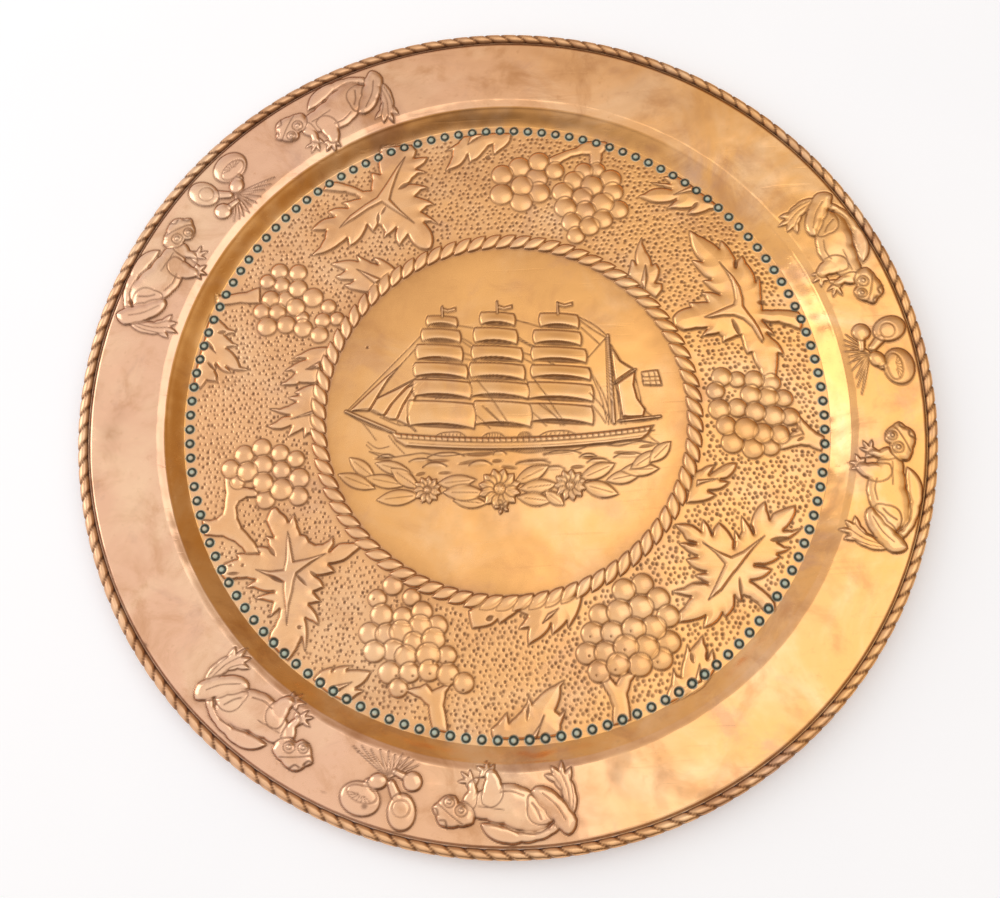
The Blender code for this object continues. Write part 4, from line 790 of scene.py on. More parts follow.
# Each form of a frog from the lowest to the topmost, along and across the strip: height share, width that is
# rounded over, and the outline
frogForms = (
    (0.7, 4.0, ((68.8, -19.1), (63.1, -22.8), (54.1, -25.6), (45.4, -26.2), (36.4, -26.8), (26.3, -23),
      (20.6, -14.5),
                (34.2, -15.7), (43.8, -19.2), (53.6, -19.6), (62.2, -17.5), (66.3, -14.7))),
    (0.95, 9.0, ((64.3, -14), (56.9, -20.2), (46.1, -19.4), (34.8, -14.9), (24.4, -12.5), (16, -10.9),
      (9.6, -9.9),
                 (9.2, -3.5), (17.2, 4.3), (27.6, 7.8), (36.9, 10.8), (46.2, 8.9), (54.4, 4.1), (60.4, -4))),
    (0.8, 5.0, ((65, -14.7), (64.8, -9.4), (60.1, -1.5), (54.4, 4.1), (50.8, 2.7), (49.9, -3.4),
      (50.1, -10.4),
                (53.2, -14.3), (59.6, -16))),
    (0.45, 3.0, ((77.9, -11.9), (81.1, -6.5), (81.9, 2), (80.4, 9.9), (81.9, 17.6), (77.1, 15.1),
      (75.8, 22.7),
                 (72.7, 16.8), (67.9, 20.2), (68.1, 14.9), (62.5, 14.7), (68.6, 9.2), (72, 4.1),
                 (73.7, -2.4))),
    (0.95, 6.0, ((76.5, -22.4), (79.6, -15.6), (76.5, -7.9), (71.1, 0.6), (63.4, 7.3), (56.5, 8.4),
      (52.9, 5.5),
                 (55.5, 1), (60.7, -6.5), (65.3, -14.3), (69.4, -21.2), (73.1, -24.3))),
    (0.4, 2.0, ((27.9, 17.8), (28.1, 22.8), (24.9, 20.7), (22, 24.6), (21.1, 20.2), (15.5, 20.9),
      (18.8, 17.4),
                (17.9, 13.7), (22.3, 14.3))),
    (0.4, 2.0, ((16.5, 8.5), (17.9, 13.7), (14.2, 13.1), (11, 18.3), (10.6, 14.3), (4.9, 16.2), (8.4, 12.1),
                (3.6, 9.8), (9.3, 9.1), (11, 6.1))),
    (0.75, 4.0, ((31.6, -1.7), (34.5, 4.9), (33.2, 11.2), (30.8, 16.3), (26.9, 19.8), (22.6, 17.9),
      (21.9, 12.1),
                 (20.8, 4.1), (21, -2.3), (26.9, -4.4))),
    (0.75, 3.5, ((15.9, -5.9), (17.6, 1.5), (16.5, 8.5), (14.3, 12.4), (11.1, 9.7), (11.3, 4.7),
      (8.1, -1.6))),
    (0.95, 6.0, ((16.7, -15.1), (16.7, -8.3), (11.9, -3), (6.2, -2.7), (3.7, 0.8), (-2.4, 0.5), (-7.3, -4.7),
                 (-10.2, -8.8), (-7.1, -13), (-3.7, -18.7), (1.3, -19.7), (7.7, -18.2), (12.9, -17.2))),
)

# Lines chased on each frog, with their width
frogLines = (
    (0.7, ((78.2, -7.6), (79.7, 1.5), (79.2, 12.9))), (0.7, ((76.2, -6.8), (76.4, 5.3), (73.4, 16.1))),
    (0.7, ((73, -3), (72.8, 6.2), (68.1, 14.2))), (0.8, ((72.4, -14.3), (68, -4.9), (59.7, 3.8))),
    (1.1, ((57.6, -12.5), (55.5, -6.1), (52.7, -1.9))), (0.9, ((47.6, 2.9), (39.5, 6), (32.3, 5.4))),
    (0.8, ((34.7, -5.7), (25.5, -4.6), (18.5, -4.1))), (0.9, ((10.1, -16.3), (3.5, -12.3), (-2.2, -8.5),
      (-6.1, -5.5))),
    (1.3, ((1, -20.1), (-0.7, -15.4), (-4.1, -15.5))), (1.3, ((-5.7, -12.7), (-7, -9), (-9.8, -9))),
)
frogEyes = ((8.2, -7.7, 3.8), (0.1, -3.4, 3.4))

# Mushrooms: angle of each group in degrees and the caps in it, with their stalks and grass
mushroomAngles = (135.7, 4.8, 248.5)
mushroomCaps = ((-4, -13, 13.0, 11.0, 0), (23, -13, 9.0, 12.0, 10), (25, 7, 6.6, 6.6, 0), (3, 1, 6.5, 5.5, 30))
mushroomStalks = ((-4, -11, -2, -2, 4.5, 3.5), (20, -8, 12, 2, 4.0, 3.0), (22, 8, 12, 10, 3.0, 2.2))
grassRoot = (9, 6)
grassBlades = ((-22, 16), (-16, 18), (-9, 18), (-3, 20), (3, 21), (8, 20), (13, 22), (18, 21), (22, 20), (26, 18))


def ring(place, x, y, rx, ry, turn, **how):  # a chased ellipse
    c, s = math.cos(math.radians(turn)), math.sin(math.radians(turn))
    points = []
    for k in range(25):
        a = 2 * math.pi * k / 24
        u, v = rx * math.cos(a), ry * math.sin(a)
        points.append(place.outside(x + u * c - v * s, y + u * s + v * c))
    chase(points, **how)


def form(place, corners, height, rounded, edge=1.0):  # a form whose sides are rounded over
    cut, xs, ys, inside = insideOf([place.outside(*corner) for corner in bowed(corners, 0.08)])
    press(cut, inside, height * np.sqrt(1 - (1 - np.clip(inside / rounded, 0, 1)) ** 2), edge)


def frog(degrees, way, inward):
    place = Bent(degrees, way, inward)
    for share, rounded, corners in frogForms:
        form(place, corners, rimWork["frog"] * share, rounded)
    for x, y, size in frogEyes:
        dome(place, x, y, size, size, 0, rimWork["frog"] * 1.2)
        ring(place, x, y, size * 0.45, size * 0.4, 0, width=0.8)
    for width, points in frogLines:
        strip(place, points, width=width, depth=width)


def mushrooms(degrees):
    place = Bent(degrees, 1)
    high = rimWork["mushroom"]
    for x, y in grassBlades:
        limb(place, *grassRoot, x, y, 1.3, 0.4, high * 0.3, 0.8)
    for shape in mushroomStalks:
        limb(place, *shape, high * 0.8)
    for x, y, rx, ry, turn in mushroomCaps:
        dome(place, x, y, rx, ry, turn, high)
    x, y, rx, ry, turn = mushroomCaps[0]
    ring(place, x, y + ry * 0.3, rx * 0.75, ry * 0.5, turn, width=1.0, depth=1.5, ink=0.7)
    for k in range(7):
        a = math.radians(200 + 20 * k)
        ends = ((0.2, 0.12), (0.7, 0.46))
        gill = [(x + rx * u * math.cos(a), y + ry * 0.3 + ry * v * math.sin(a)) for u, v in ends]
        strip(place, gill, width=0.6)
    x, y, rx, ry, turn = mushroomCaps[1]
    ring(place, x - 1, y + 2, rx * 0.6, ry * 0.45, turn + 15, width=0.9, depth=1.2, ink=0.6)
    for dx in (-2, 0, 2):
        strip(place, [(grassRoot[0] + dx, grassRoot[1]), (grassRoot[0] + dx * 2.4, grassRoot[1] + 12)], width=0.6)


for placed in frogs:
    frog(*placed)
for degrees in mushroomAngles:
    mushrooms(degrees)
innerLine = rimOuter - 0.6
circle = [(innerLine * math.cos(a / 2), innerLine * math.sin(a / 2)) for a in np.radians(range(721))]
chase(circle, width=1.6, depth=0.5, ink=0.85)
print("rim chased")


# Beads at the foot of the cavetto, and the stippled ground between the vines

beads = {"ring": wellRadius - 4.0, "count": 134, "radius": 3.3, "height": 1.4, "eye": 1.8}

for k in range(beads["count"]):
    a = 2 * math.pi * k / beads["count"]
    x, y = beads["ring"] * math.cos(a), beads["ring"] * math.sin(a)
    cut, xs, ys = window(x, y, 5, 5)
    away = np.hypot(xs - x, ys - y)
    within = smooth((beads["radius"] - away) / 0.5 + 0.5)
    for name in ("rise", "ink", "sink"):
        layer[name][cut] *= 1 - within
    full = beads["height"] * np.sqrt(np.clip(1 - (away / beads["radius"]) ** 2, 0, 1))
    layer["rise"][cut] = np.maximum(layer["rise"][cut], full)
    groove = np.exp(-(((away - beads["eye"] - 0.45) / 0.45) ** 2))
    layer["sink"][cut] = np.maximum(layer["sink"][cut], groove * 0.7)
    band = smooth((away - beads["eye"] + 0.3) / 0.5) * smooth((beads["radius"] + 0.3 - away) / 0.5)
    layer["ink"][cut] = np.maximum(layer["ink"][cut], band)
    layer["green"][cut] = np.maximum(layer["green"][cut], smooth((beads["radius"] + 0.5 - away) / 0.5))
    layer["shape"][cut] = np.maximum(layer["shape"][cut], within)
angles = [k * math.pi / 180 for k in range(361)]
circle = [(beads["ring"] * math.cos(a), beads["ring"] * math.sin(a)) for a in angles]
chase(circle, width=0.55, depth=0.5, ink=0.0)

stipple = {
    "gap": 4.1,
    "rowGap": 0.87,  # rows lie closer than the dots in a row
    "jitter": 1.15,
    "radius": 1.08,
    "depth": 0.5,
    "lip": 0.03,
    "inner": 141.5,
    "outer": 220.5,
    "span": 450,
    "clearance": 0.12,  # share of a raised form's soft edge that a dot may touch
    "seed": 4,
}

chance = np.random.default_rng(stipple["seed"])
taken = blurred(layer["shape"], 0.7)
first = -stipple["span"] / 2
for row in range(int(stipple["span"] / (stipple["gap"] * stipple["rowGap"]))):
    for column in range(int(stipple["span"] / stipple["gap"])):
        shiftX, shiftY, size, hit = chance.random(4)
        x = first + column * stipple["gap"] + (row % 2) * stipple["gap"] / 2
        y = first + row * stipple["gap"] * stipple["rowGap"]
        x += (shiftX - 0.5) * 2 * stipple["jitter"]
        y += (shiftY - 0.5) * 2 * stipple["jitter"]
        covered = sampled(taken, np.array([x]), np.array([y]))[0] > stipple["clearance"]
        if covered or not stipple["inner"] < math.hypot(x, y) < stipple["outer"]:
            continue
        radius, depth = stipple["radius"] * (0.75 + 0.5 * size), stipple["depth"] * (0.7 + 0.5 * hit)
        pit(x, y, radius, depth, 0.65 + 0.35 * hit, stipple["lip"])
print("ground stippled")


# Stained places on the rim and the medallion: x, y, radius and strength
blots = (
    (-277, -4, 7, 0.7), (-272, 10, 6, 0.4), (-279, -18, 5, 0.35), (57, -252, 4, 0.6), (60, -244, 3, 0.5),
    (-95, 62, 22, 0.4), (-60, 100, 24, 0.35), (-110, 20, 14, 0.3), (20, 108, 20, 0.25), (110, 245, 14, 0.4),
    (150, 225, 12, 0.4), (60, 262, 12, 0.35), (-20, -32, 14, 0.4), (20, -30, 16, 0.35), (-60, -36, 12, 0.3),
    (70, -100, 20, 0.2),
)
# Dark specks: x, y and radius
specks = (
    (-248, -152.5, 1.6), (-107, -228, 1.0), (-103, -262, 2.2), (-130, -252, 0.8), (-240, -130, 0.6),
    (-30, -213, 0.9), (-45, -198, 0.8), (-99, -197, 0.8), (80, -120, 1.0),
)
for x, y, radius in specks:
    pit(x, y, radius, 0.1, 0.85, 0.0)

# Height of the worked face, its slopes, and where it is lightened or darkened: patina and painted shade in the
# hollows, polish and painted highlight on the crests
worked = layer["rise"] - layer["sink"]
worked = (worked + np.roll(worked, 1, 0) + np.roll(worked, -1, 0)) / 3
worked = (worked + np.roll(worked, 1, 1) + np.roll(worked, -1, 1)) / 3
workedSlopes = np.gradient(worked, net["cell"])
near = blurred(worked, 1.4)
wide = blurred(worked, 4.0)
# the hollows hold patina and are darkened further as painted shade, where the face lies below its surroundings
hollow = np.clip((near - worked) / 0.5, 0, 1) * 0.4 + np.clip((wide - worked) / 1.2, 0, 1) * 0.35
# the crests are lightened for polish and as painted highlight
polishAndHighlight = np.clip((worked - near) / 0.5, 0, 1)
fromMiddle = np.hypot(*np.meshgrid(marks, marks))
darkBandInsideRope = np.exp(-(((ropeInner - fromMiddle) / 9) ** 2)) * (fromMiddle < ropeInner + 2)  # a darker band just inside the rope
hollow += 0.4 * darkBandInsideRope
for x, y, radius, share in blots:
    cut, xs, ys = window(x, y, radius * 2.5, radius * 2.5)
    hollow[cut] += share * np.exp(-(((xs - x) / radius) ** 2 + ((ys - y) / radius) ** 2))
hollow = np.clip(hollow, 0, 1).astype(np.float32)
print("layers ready")


# Surfaces cut from the layers

pieces = []


def addPiece(name, points, quads, normals, values, material):  # quads may end in a few triangles, as a list
    mesh = bpy.data.meshes.new(name)
    mesh.vertices.add(len(points))
    mesh.vertices.foreach_set("co", (points * mm).astype(np.float32).ravel())
    sizes = np.array([len(q) for q in quads]) if isinstance(quads, list) else np.full(len(quads), quads.shape[1])
    corners = np.concatenate(quads) if isinstance(quads, list) else quads.ravel()
    mesh.loops.add(len(corners))
    mesh.loops.foreach_set("vertex_index", corners.astype(np.int32))
    mesh.polygons.add(len(sizes))
    mesh.polygons.foreach_set("loop_start", (np.cumsum(sizes) - sizes).astype(np.int32))
    mesh.update(calc_edges=True)
    mesh.shade_smooth()
    for key, value in values.items():
        mesh.attributes.new(key, "FLOAT", "POINT").data.foreach_set("value", value.astype(np.float32))
    mesh.normals_split_custom_set_from_vertices(normals.tolist())
    mesh.materials.append(material)
    piece = bpy.data.objects.new(name, mesh)
    bpy.context.scene.collection.objects.link(piece)
    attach(piece, "root")
    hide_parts("charger")
    pieces.append(piece)


def surface(x, y, relief, slopes, shift=0.0):  # heights and upward normals of the dish with its relief
    r = np.hypot(x, y)
    z = dishTop(r, shift) + sampled(relief, x, y)
    fall = (dishTop(r + 0.05, shift) - dishTop(r - 0.05, shift)) / 0.1 / np.maximum(r, 1e-6)
    slopeX, slopeY = sampled(slopes[1], x, y) + fall * x, sampled(slopes[0], x, y) + fall * y
    normals = np.stack([-slopeX, -slopeY, np.ones_like(x)], 1)
    return z, normals / np.linalg.norm(normals, axis=1)[:, None]


def facePiece(name, x, y, quads, material):
    z, normals = surface(x, y, worked, workedSlopes)
    read = {"ink": layer["ink"], "hollow": hollow, "polishAndHighlight": polishAndHighlight, "green": layer["green"]}
    values = {key: np.clip(sampled(value, x, y), 0, 1) for key, value in read.items()}
    addPiece(name, np.stack([x, y, z], 1), quads, normals, values, material)


def netQuads(rows, columns, closed):  # a net of rows of points; closed joins the ends of each row
    i, j = np.meshgrid(np.arange(rows - 1), np.arange(columns if closed else columns - 1), indexing="ij")
    after = (j + 1) % columns
    corners = [i * columns + j, i * columns + after, (i + 1) * columns + after, (i + 1) * columns + j]
    return np.stack(corners, -1).reshape(-1, 4)


def bandPiece(name, radii, angles, material, closed=True):
    r, a = np.meshgrid(radii[::-1], angles, indexing="ij")
    quads = netQuads(len(radii), len(angles), closed)
    facePiece(name, (r * np.cos(a)).ravel(), (r * np.sin(a)).ravel(), quads, material)


def discPiece(name, radius, count, material):  # a square net bent to a circle, with cells of one size all over
    v, u = np.meshgrid(np.linspace(-1, 1, count), np.linspace(-1, 1, count), indexing="ij")
    broad = np.abs(u) >= np.abs(v)
    long = np.where(broad, u, v)
    share = math.pi / 4 * np.where(broad, v, u) / np.where(long == 0, 1, long)
    x = radius * long * np.where(broad, np.cos(share), np.sin(share))
    y = radius * long * np.where(broad, np.sin(share), np.cos(share))
    facePiece(name, x.ravel(), y.ravel(), netQuads(count, count, False), material)


def evenRadii(low, high, gap):
    return np.linspace(low, high, int(round((high - low) / gap)) + 1)


def evenAngles(gap, radius, start=0.0, stop=360.0):
    count = int(round(math.radians(stop - start) * radius / gap))
    return np.radians(np.linspace(start, stop, count + 1))


def rimAngles(fine, coarse):  # closer together where there are figures
    spans = [sorted(degrees + way * math.degrees(s / rimMiddle) for s in (-16, 90)) for degrees, way, _ in frogs]
    spans += [(degrees - 5, degrees + 8.5) for degrees in mushroomAngles]
    angles, at = [], 0.0
    while at < 360:
        angles.append(at)
        inFigure = any((at - low) % 360 <= (high - low) for low, high in spans)
        at += math.degrees((fine if inFigure else coarse) / rimMiddle)
    return np.radians(np.array(angles))


# Shader helpers

def add(tree, kind, feed=None, **settings):
    made = tree.nodes.new("ShaderNode" + kind)
    for key, value in settings.items():
        setattr(made, key, value)
    for key, value in (feed or {}).items():
        socket = made.inputs[key]
        if isinstance(value, bpy.types.NodeSocket):
            tree.links.new(value, socket)
        else:
            socket.default_value = value
    return made


def calc(tree, operation, a, b=0.0, clamp=False):
    return add(tree, "Math", {0: a, 1: b}, operation=operation, use_clamp=clamp).outputs[0]


def blend(tree, factor, a, b, mode="MIX"):
    return add(tree, "Mix", {0: factor, 6: a, 7: b}, data_type="RGBA", blend_type=mode).outputs[2]


def spread(tree, value, low, high, toLow=0.0, toHigh=1.0):
    feed = {"Value": value, "From Min": low, "From Max": high, "To Min": toLow, "To Max": toHigh}
    return add(tree, "MapRange", feed, interpolation_type="SMOOTHSTEP").outputs[0]


def noise(tree, scale, detail=4.0, roughness=0.55, distortion=0.0, stretch=None, offset=0.0):
    at = add(tree, "TexCoord").outputs["Object"]
    place = {"Vector": at, "Location": (offset, offset * 0.7, 0.0)}
    if stretch:
        place["Scale"] = stretch[0]
        place["Rotation"] = (0, 0, stretch[1])
    at = add(tree, "Mapping", place).outputs[0]
    feed = {"Vector": at, "Scale": scale, "Detail": detail, "Roughness": roughness, "Distortion": distortion}
    return add(tree, "TexNoise", feed).outputs["Fac"]


def group(name, inputs, outputs):
    tree = bpy.data.node_groups.new(name, "ShaderNodeTree")
    for title, kind, value in inputs:
        socket = tree.interface.new_socket(title, in_out="INPUT", socket_type="NodeSocket" + kind)
        socket.default_value = value
    for title, kind in outputs:
        tree.interface.new_socket(title, in_out="OUTPUT", socket_type="NodeSocket" + kind)
    taken = tree.nodes.new("NodeGroupInput").outputs
    given = tree.nodes.new("NodeGroupOutput").inputs
    return tree, taken, given


def useGroup(tree, made, feed):
    placed = tree.nodes.new("ShaderNodeGroup")
    placed.node_tree = made
    for key, value in feed.items():
        if isinstance(value, bpy.types.NodeSocket):
            tree.links.new(value, placed.inputs[key])
        else:
            placed.inputs[key].default_value = value
    return placed.outputs


def colour(r, g, b):
    return (r, g, b, 1.0)


copperTones = {
    "golden": colour(0.85, 0.425, 0.135),
    # a rose tint painted on the left of the dish as the reflection of a bright window
    "leftReflectionTint": colour(0.86, 0.50, 0.32),
    "cloud": colour(0.55, 0.25, 0.10),
    "stain": colour(0.50, 0.27, 0.19),
    "polished": colour(1.0, 0.70, 0.44),
    # the dark of the chased lines: patina, and on the inner side of the rolled edge painted shade
    "dirtAndShade": colour(0.12, 0.046, 0.019),
    # the hollows: patina and painted shade
    "umber": colour(0.33, 0.13, 0.045),
    # the crests: polish and painted highlight
    "polishAndHighlight": colour(0.98, 0.72, 0.50),
    "verdigris": colour(0.46, 0.53, 0.43),
    "blackGreen": colour(0.035, 0.040, 0.028),
}


def toneGroup():  # the metal's colour: golden towards the right of the dish and clouded; towards the left a rose tint is painted on as the reflection of a bright window
    tree, taken, given = group(
        "metalTone",
        [("Golden", "Color", copperTones["golden"]), ("Left Reflection Tint", "Color", copperTones["leftReflectionTint"]),
         ("Cloud Color", "Color", copperTones["cloud"]), ("Stain", "Color", copperTones["stain"]),
         ("Polished", "Color", copperTones["polished"]),
         ("Left Reflection Share", "Float", 0.5), ("Clouding", "Float", 0.4)],
        [("Color", "Color")],
    )
    clouding = taken["Clouding"]
    at = add(tree, "TexCoord").outputs["Object"]
    across, away = add(tree, "SeparateXYZ", {0: at}).outputs[:2]
    farSide = spread(tree, away, 0.16, 0.30, 0.0, 0.42)  # darker towards the far side of the rim
    # painted reflection: towards the left of the dish the tone turns rose and lighter, as a mirrored bright
    # window would make it
    drift = calc(tree, "MULTIPLY", noise(tree, 7.0, 3.0), 0.3)
    leftReflection = spread(tree, calc(tree, "SUBTRACT", drift, across), -0.12, 0.42)
    share = calc(tree, "MULTIPLY", leftReflection, calc(tree, "MULTIPLY", taken["Left Reflection Share"], 1.6), clamp=True)
    tone = blend(tree, share, taken["Golden"], taken["Left Reflection Tint"])
    bright = spread(tree, noise(tree, 11.0, 5.0, 0.6, 0.7, offset=17.0), 0.44, 0.7)
    bright = calc(tree, "MULTIPLY", bright, clouding)
    tone = blend(tree, calc(tree, "MULTIPLY", bright, 0.8), tone, taken["Polished"])
    stains = spread(tree, noise(tree, 15.0, 6.0, 0.62, 0.8, offset=14.0), 0.52, 0.68)
    stains = calc(tree, "MULTIPLY", stains, calc(tree, "MULTIPLY", clouding, 0.75))
    tone = blend(tree, stains, tone, taken["Stain"])
    clouds = spread(tree, noise(tree, 26.0, 7.0, 0.62, 0.6, offset=3.0), 0.47, 0.72)
    motes = spread(tree, noise(tree, 170.0, 5.0, 0.7, offset=8.0), 0.56, 0.78)
    cloud = calc(tree, "MULTIPLY", calc(tree, "MAXIMUM", clouds, calc(tree, "MULTIPLY", motes, 0.6)), clouding)
    cloud = calc(tree, "ADD", cloud, calc(tree, "MULTIPLY", farSide, clouding), clamp=True)
    tree.links.new(blend(tree, cloud, tone, taken["Cloud Color"]), given["Color"])
    return tree


def patinaShadeAndHighlightGroup():  # patina in the chased lines; umber in the hollows, partly patina and partly painted shade; a paler tone on the crests for polish and painted highlight
    tree, taken, given = group(
        "patinaShadeAndHighlight",
        [("Color", "Color", copperTones["golden"]), ("Dirt And Shade", "Color", copperTones["dirtAndShade"]),
         ("Umber", "Color", copperTones["umber"]), ("Polish And Highlight Color", "Color", copperTones["polishAndHighlight"]),
         ("Ink", "Float", 0.0), ("Hollow", "Float", 0.0), ("Polish And Highlight", "Float", 0.0), ("Strength", "Float", 1.0)],
        [("Color", "Color"), ("Mask", "Float")],
    )
    patchy = spread(tree, noise(tree, 210.0, 4.0, 0.6, offset=5.0), 0.25, 0.75, 0.75, 1.0)
    # painted shade: the hollows turn towards umber along with their patina
    hollowPatinaAndShade = calc(tree, "MULTIPLY", calc(tree, "MULTIPLY", taken["Hollow"], patchy), taken["Strength"], clamp=True)
    # patina in the chased lines; on the rolled edge this dark also carries painted shade
    dirtAndShadeMask = calc(tree, "MULTIPLY", calc(tree, "MULTIPLY", taken["Ink"], patchy), taken["Strength"], clamp=True)
    base = blend(tree, calc(tree, "MULTIPLY", hollowPatinaAndShade, 0.6), taken["Color"], taken["Umber"])
    # painted highlight: the crests turn paler along with their polish
    bright = blend(tree, calc(tree, "MULTIPLY", taken["Polish And Highlight"], 0.25), base, taken["Polish And Highlight Color"])
    tree.links.new(blend(tree, dirtAndShadeMask, bright, taken["Dirt And Shade"]), given["Color"])
    tree.links.new(dirtAndShadeMask, given["Mask"])
    return tree


def wearGroup():  # the unevenness of hand-raised sheet, wiping marks, fine scratches and specks
    tree, taken, given = group(
        "handWorkedSurface",
        [("Unevenness", "Float", 1.0), ("Scratches", "Float", 1.0), ("Specks", "Float", 1.0)],
        [("Height", "Float"), ("Dull", "Float")],
    )
    ripples = calc(tree, "MULTIPLY", noise(tree, 34.0, 2.0, 0.45, offset=2.0), 0.13)
    uneven = calc(tree, "MULTIPLY", calc(tree, "ADD", noise(tree, 13.0, 3.0, 0.45), ripples), taken["Unevenness"])
    lines = None
    for turn, offset in ((0.35, 1.0), (1.9, 4.0), (2.7, 7.0)):
        line = noise(tree, 240.0, 2.0, 0.5, stretch=((0.05, 1.0, 1.0), turn), offset=offset)
        line = spread(tree, line, 0.66, 0.74)
        lines = line if lines is None else calc(tree, "MAXIMUM", lines, line)
    lines = calc(tree, "MULTIPLY", lines, taken["Scratches"])
    specks = spread(tree, noise(tree, 700.0, 2.0, 0.5, offset=6.0), 0.68, 0.76)
    specks = calc(tree, "MULTIPLY", specks, taken["Specks"])
    tree.links.new(calc(tree, "SUBTRACT", uneven, calc(tree, "MULTIPLY", lines, 0.012)), given["Height"])
    wiped = spread(tree, noise(tree, 30.0, 5.0, 0.6, 0.4, offset=9.0), 0.35, 0.75)
    marked = calc(tree, "MAXIMUM", calc(tree, "MULTIPLY", lines, 0.4), specks)
    tree.links.new(calc(tree, "ADD", calc(tree, "MULTIPLY", wiped, 0.6), marked), given["Dull"])
    return tree


metalTone, patinaShadeAndHighlight, handWorked = toneGroup(), patinaShadeAndHighlightGroup(), wearGroup()


def copper(name, look):  # one finish of the sheet, read from the masks on the mesh
    material = bpy.data.materials.new(name)
    material.use_nodes = True
    tree = material.node_tree
    shader = tree.nodes["Principled BSDF"]
    tone = useGroup(tree, metalTone, {"Left Reflection Share": look["leftReflectionTint"], "Clouding": look["clouding"]})
    worn = {"Unevenness": look["uneven"], "Scratches": look["scratches"], "Specks": look["specks"]}
    wear = useGroup(tree, handWorked, worn)
    masks = ("ink", "hollow", "polishAndHighlight", "green")
    read = {key: add(tree, "Attribute", attribute_name=key).outputs["Fac"] for key in masks}
    # patina, painted shade in the hollows and painted highlight on the crests, laid over the metal's tone
    dirtAndShade = useGroup(tree, patinaShadeAndHighlight, {"Color": tone["Color"], "Ink": read["ink"], "Hollow": read["hollow"],
                                            "Polish And Highlight": read["polishAndHighlight"], "Strength": look["dirtAndShade"]})
    patchy = spread(tree, noise(tree, 150.0, 3.0, offset=11.0), 0.3, 0.6, 0.55, 1.0)
    greenish = calc(tree, "MULTIPLY", read["green"], patchy)
    shade = blend(tree, greenish, dirtAndShade["Color"], copperTones["verdigris"])
    shade = blend(tree, calc(tree, "MULTIPLY", read["green"], read["ink"]), shade, copperTones["blackGreen"])
    tree.links.new(shade, shader.inputs["Base Color"])
    dull = calc(tree, "MAXIMUM", dirtAndShade["Mask"], greenish)
    metallic = calc(tree, "SUBTRACT", 1.0, calc(tree, "MULTIPLY", dull, 0.5))
    tree.links.new(metallic, shader.inputs["Metallic"])
    rough = calc(tree, "ADD", look["rough"], calc(tree, "MULTIPLY", wear["Dull"], look["roughSpread"]))
    rough = calc(tree, "ADD", rough, calc(tree, "MULTIPLY", dull, 0.35), clamp=True)
    tree.links.new(rough, shader.inputs["Roughness"])
    bump = add(tree, "Bump", {"Strength": 1.0, "Distance": look["bump"], "Height": wear["Height"]})
    tree.links.new(bump.outputs[0], shader.inputs["Normal"])
    return material


# Each look sets how strongly the rose reflection is painted on the left of the dish, and the strength of the
# patina and painted shade
chasedLook = {
    "leftReflectionTint": 0.3, "clouding": 0.45, "uneven": 0.7, "scratches": 0.5, "specks": 0.6, "dirtAndShade": 1.0, "rough": 0.2,
    "roughSpread": 0.16, "bump": 0.002,
}
medallionLook = dict(chasedLook, leftReflectionTint=0.08, clouding=0.35, uneven=1.0, scratches=0.9)
rimLook = {
    "leftReflectionTint": 0.8, "clouding": 0.6, "uneven": 2.4, "scratches": 0.9, "specks": 0.5, "dirtAndShade": 0.9, "rough": 0.14,
    "roughSpread": 0.18, "bump": 0.002,
}
wallLook = dict(rimLook, leftReflectionTint=0.0)
edgeLook = {
    "leftReflectionTint": 0.4, "clouding": 0.9, "uneven": 0.3, "scratches": 0.6, "specks": 0.6, "dirtAndShade": 1.0, "rough": 0.26,
    "roughSpread": 0.2, "bump": 0.002,
}
backLook = {
    "leftReflectionTint": 0.5, "clouding": 0.9, "uneven": 1.4, "scratches": 1.0, "specks": 1.0, "dirtAndShade": 1.0, "rough": 0.36,
    "roughSpread": 0.25, "bump": 0.002,
}
medallionCopper = copper("medallionCopper", medallionLook)
chasedCopper = copper("chasedCopper", chasedLook)
rimCopper = copper("rimCopper", rimLook)
wallCopper = copper("wallCopper", wallLook)
edgeCopper = copper("edgeCopper", edgeLook)
backCopper = copper("backCopper", backLook)
print("materials built")


# The pieces

# Size of the meshes' cells; disc is a count of points across
cells = {
    "disc": 312,
    "frieze": 0.74,
    "rope": 0.72,
    "beads": 0.62,
    "wall": 0.9,
    "wallAround": 1.6,
    "rim": 0.8,
    "rimFine": 0.74,
    "rimCoarse": 2.6,
}
beadsInner, beadsOuter = beads["ring"] - beads["radius"], beads["ring"] + beads["radius"]


def closedAngles(gap, radius):
    return evenAngles(gap, radius)[:-1]


discPiece("medallion", ropeInner, cells["disc"], medallionCopper)
ropeRadii = evenRadii(ropeInner, ropeOuter, cells["rope"])
bandPiece("medallionRope", ropeRadii, closedAngles(cells["rope"], rope["radius"]), chasedCopper)
friezeRadii = evenRadii(ropeOuter, beadsInner, cells["frieze"])
for name, start in (("friezeUpper", 0.0), ("friezeLower", 180.0)):
    angles = evenAngles(cells["frieze"], (ropeOuter + beadsInner) / 2, start, start + 180.0)
    bandPiece(name, friezeRadii, angles, chasedCopper, closed=False)
beadRadii = evenRadii(beadsInner, beadsOuter, cells["beads"])
bandPiece("beadRing", beadRadii, closedAngles(cells["beads"], beads["ring"]), chasedCopper)
wallRadii = evenRadii(beadsOuter, wallTop, cells["wall"])
bandPiece("cavetto", wallRadii, closedAngles(cells["wallAround"], wellRadius), wallCopper)
rimRadii = evenRadii(wallTop, rimOuter, cells["rim"])
bandPiece("rim", rimRadii, rimAngles(cells["rimFine"], cells["rimCoarse"]), rimCopper)
print("face built")


edge = {
    "twists": 152,
    "cut": 0.9,
    "cutWidth": 0.13,
    "puff": 0.18,  # how much fuller each twist is at its middle
    "lean": 8.0,
    "ink": 0.95,
    "inkWidth": 0.15,
    "columns": 2280,
    "rows": 16,
}


